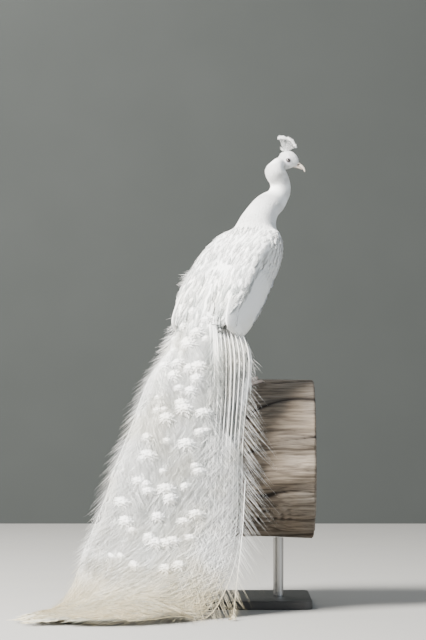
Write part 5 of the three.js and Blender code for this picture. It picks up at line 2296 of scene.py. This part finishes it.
class PEACOCK_OT_wings(bpy.types.Operator):
    """The folded wings' flight feathers and greater coverts"""

    bl_idname = "peacock.wings"
    bl_label = "Wings"

    def execute(self, context):
        build_wings()
        return {"FINISHED"}


class PEACOCK_OT_tail(bpy.types.Operator):
    """The stiff tail feathers under the train"""

    bl_idname = "peacock.tail"
    bl_label = "Tail"

    def execute(self, context):
        build_tail()
        return {"FINISHED"}


class PEACOCK_OT_train(bpy.types.Operator):
    """The long train with its pale eyes and loose barbs"""

    bl_idname = "peacock.train"
    bl_label = "Train"

    def execute(self, context):
        build_train()
        return {"FINISHED"}


class PEACOCK_OT_crest(bpy.types.Operator):
    """The crest's shafts and tufts"""

    bl_idname = "peacock.crest"
    bl_label = "Crest"

    def execute(self, context):
        build_crest()
        return {"FINISHED"}


class PEACOCK_OT_bill(bpy.types.Operator):
    """Both halves of the bill"""

    bl_idname = "peacock.bill"
    bl_label = "Bill"

    def execute(self, context):
        build_bill()
        return {"FINISHED"}


class PEACOCK_OT_eyes(bpy.types.Operator):
    """The two eyes"""

    bl_idname = "peacock.eyes"
    bl_label = "Eyes"

    def execute(self, context):
        build_eyes()
        return {"FINISHED"}


class PEACOCK_OT_legs(bpy.types.Operator):
    """Shanks and toes with their scales"""

    bl_idname = "peacock.legs"
    bl_label = "Legs"

    def execute(self, context):
        build_legs()
        return {"FINISHED"}


class PEACOCK_OT_claws(bpy.types.Operator):
    """Claws and spurs"""

    bl_idname = "peacock.claws"
    bl_label = "Claws and spurs"

    def execute(self, context):
        build_claws()
        return {"FINISHED"}


class PEACOCK_OT_perch(bpy.types.Operator):
    """The cut length of weathered trunk"""

    bl_idname = "peacock.perch"
    bl_label = "Perch"

    def execute(self, context):
        build_perch()
        return {"FINISHED"}


class PEACOCK_OT_stand(bpy.types.Operator):
    """Finishes of the display base and its rods"""

    bl_idname = "peacock.stand"
    bl_label = "Stand"

    def execute(self, context):
        build_stand()
        return {"FINISHED"}


class PEACOCK_OT_stage(bpy.types.Operator):
    """Floor, backdrop, lights and camera"""

    bl_idname = "peacock.stage"
    bl_label = "Studio"

    def execute(self, context):
        build_stage()
        return {"FINISHED"}


STEPS = (
    PEACOCK_OT_stage,
    PEACOCK_OT_skin,
    PEACOCK_OT_wings,
    PEACOCK_OT_tail,
    PEACOCK_OT_train,
    PEACOCK_OT_crest,
    PEACOCK_OT_bill,
    PEACOCK_OT_eyes,
    PEACOCK_OT_legs,
    PEACOCK_OT_claws,
    PEACOCK_OT_perch,
    PEACOCK_OT_stand,
)


class PEACOCK_PT_build(bpy.types.Panel):
    """Sizes, colours and the steps that build the bird"""

    bl_label = "White Peacock"
    bl_space_type = "VIEW_3D"
    bl_region_type = "UI"
    bl_category = "Peacock"

    def draw(self, context):
        for group in (context.scene.peacock_sizes, context.scene.peacock_colours):
            box = self.layout.box()
            for name in group.__annotations__:
                box.prop(group, name)
        for step in STEPS:
            self.layout.operator(step.bl_idname)


CLASSES = (PeacockSizes, PeacockColours, *STEPS, PEACOCK_PT_build)


def register():
    for made in CLASSES:
        bpy.utils.register_class(made)
    bpy.types.Scene.peacock_sizes = bpy.props.PointerProperty(type=PeacockSizes)
    bpy.types.Scene.peacock_colours = bpy.props.PointerProperty(type=PeacockColours)


def unregister():
    del bpy.types.Scene.peacock_colours
    del bpy.types.Scene.peacock_sizes
    for made in reversed(CLASSES):
        bpy.utils.unregister_class(made)


def main():
    register()
    for step in STEPS:
        group, name = step.bl_idname.split(".")
        getattr(getattr(bpy.ops, group), name)()


if __name__ == "__main__":
    main()
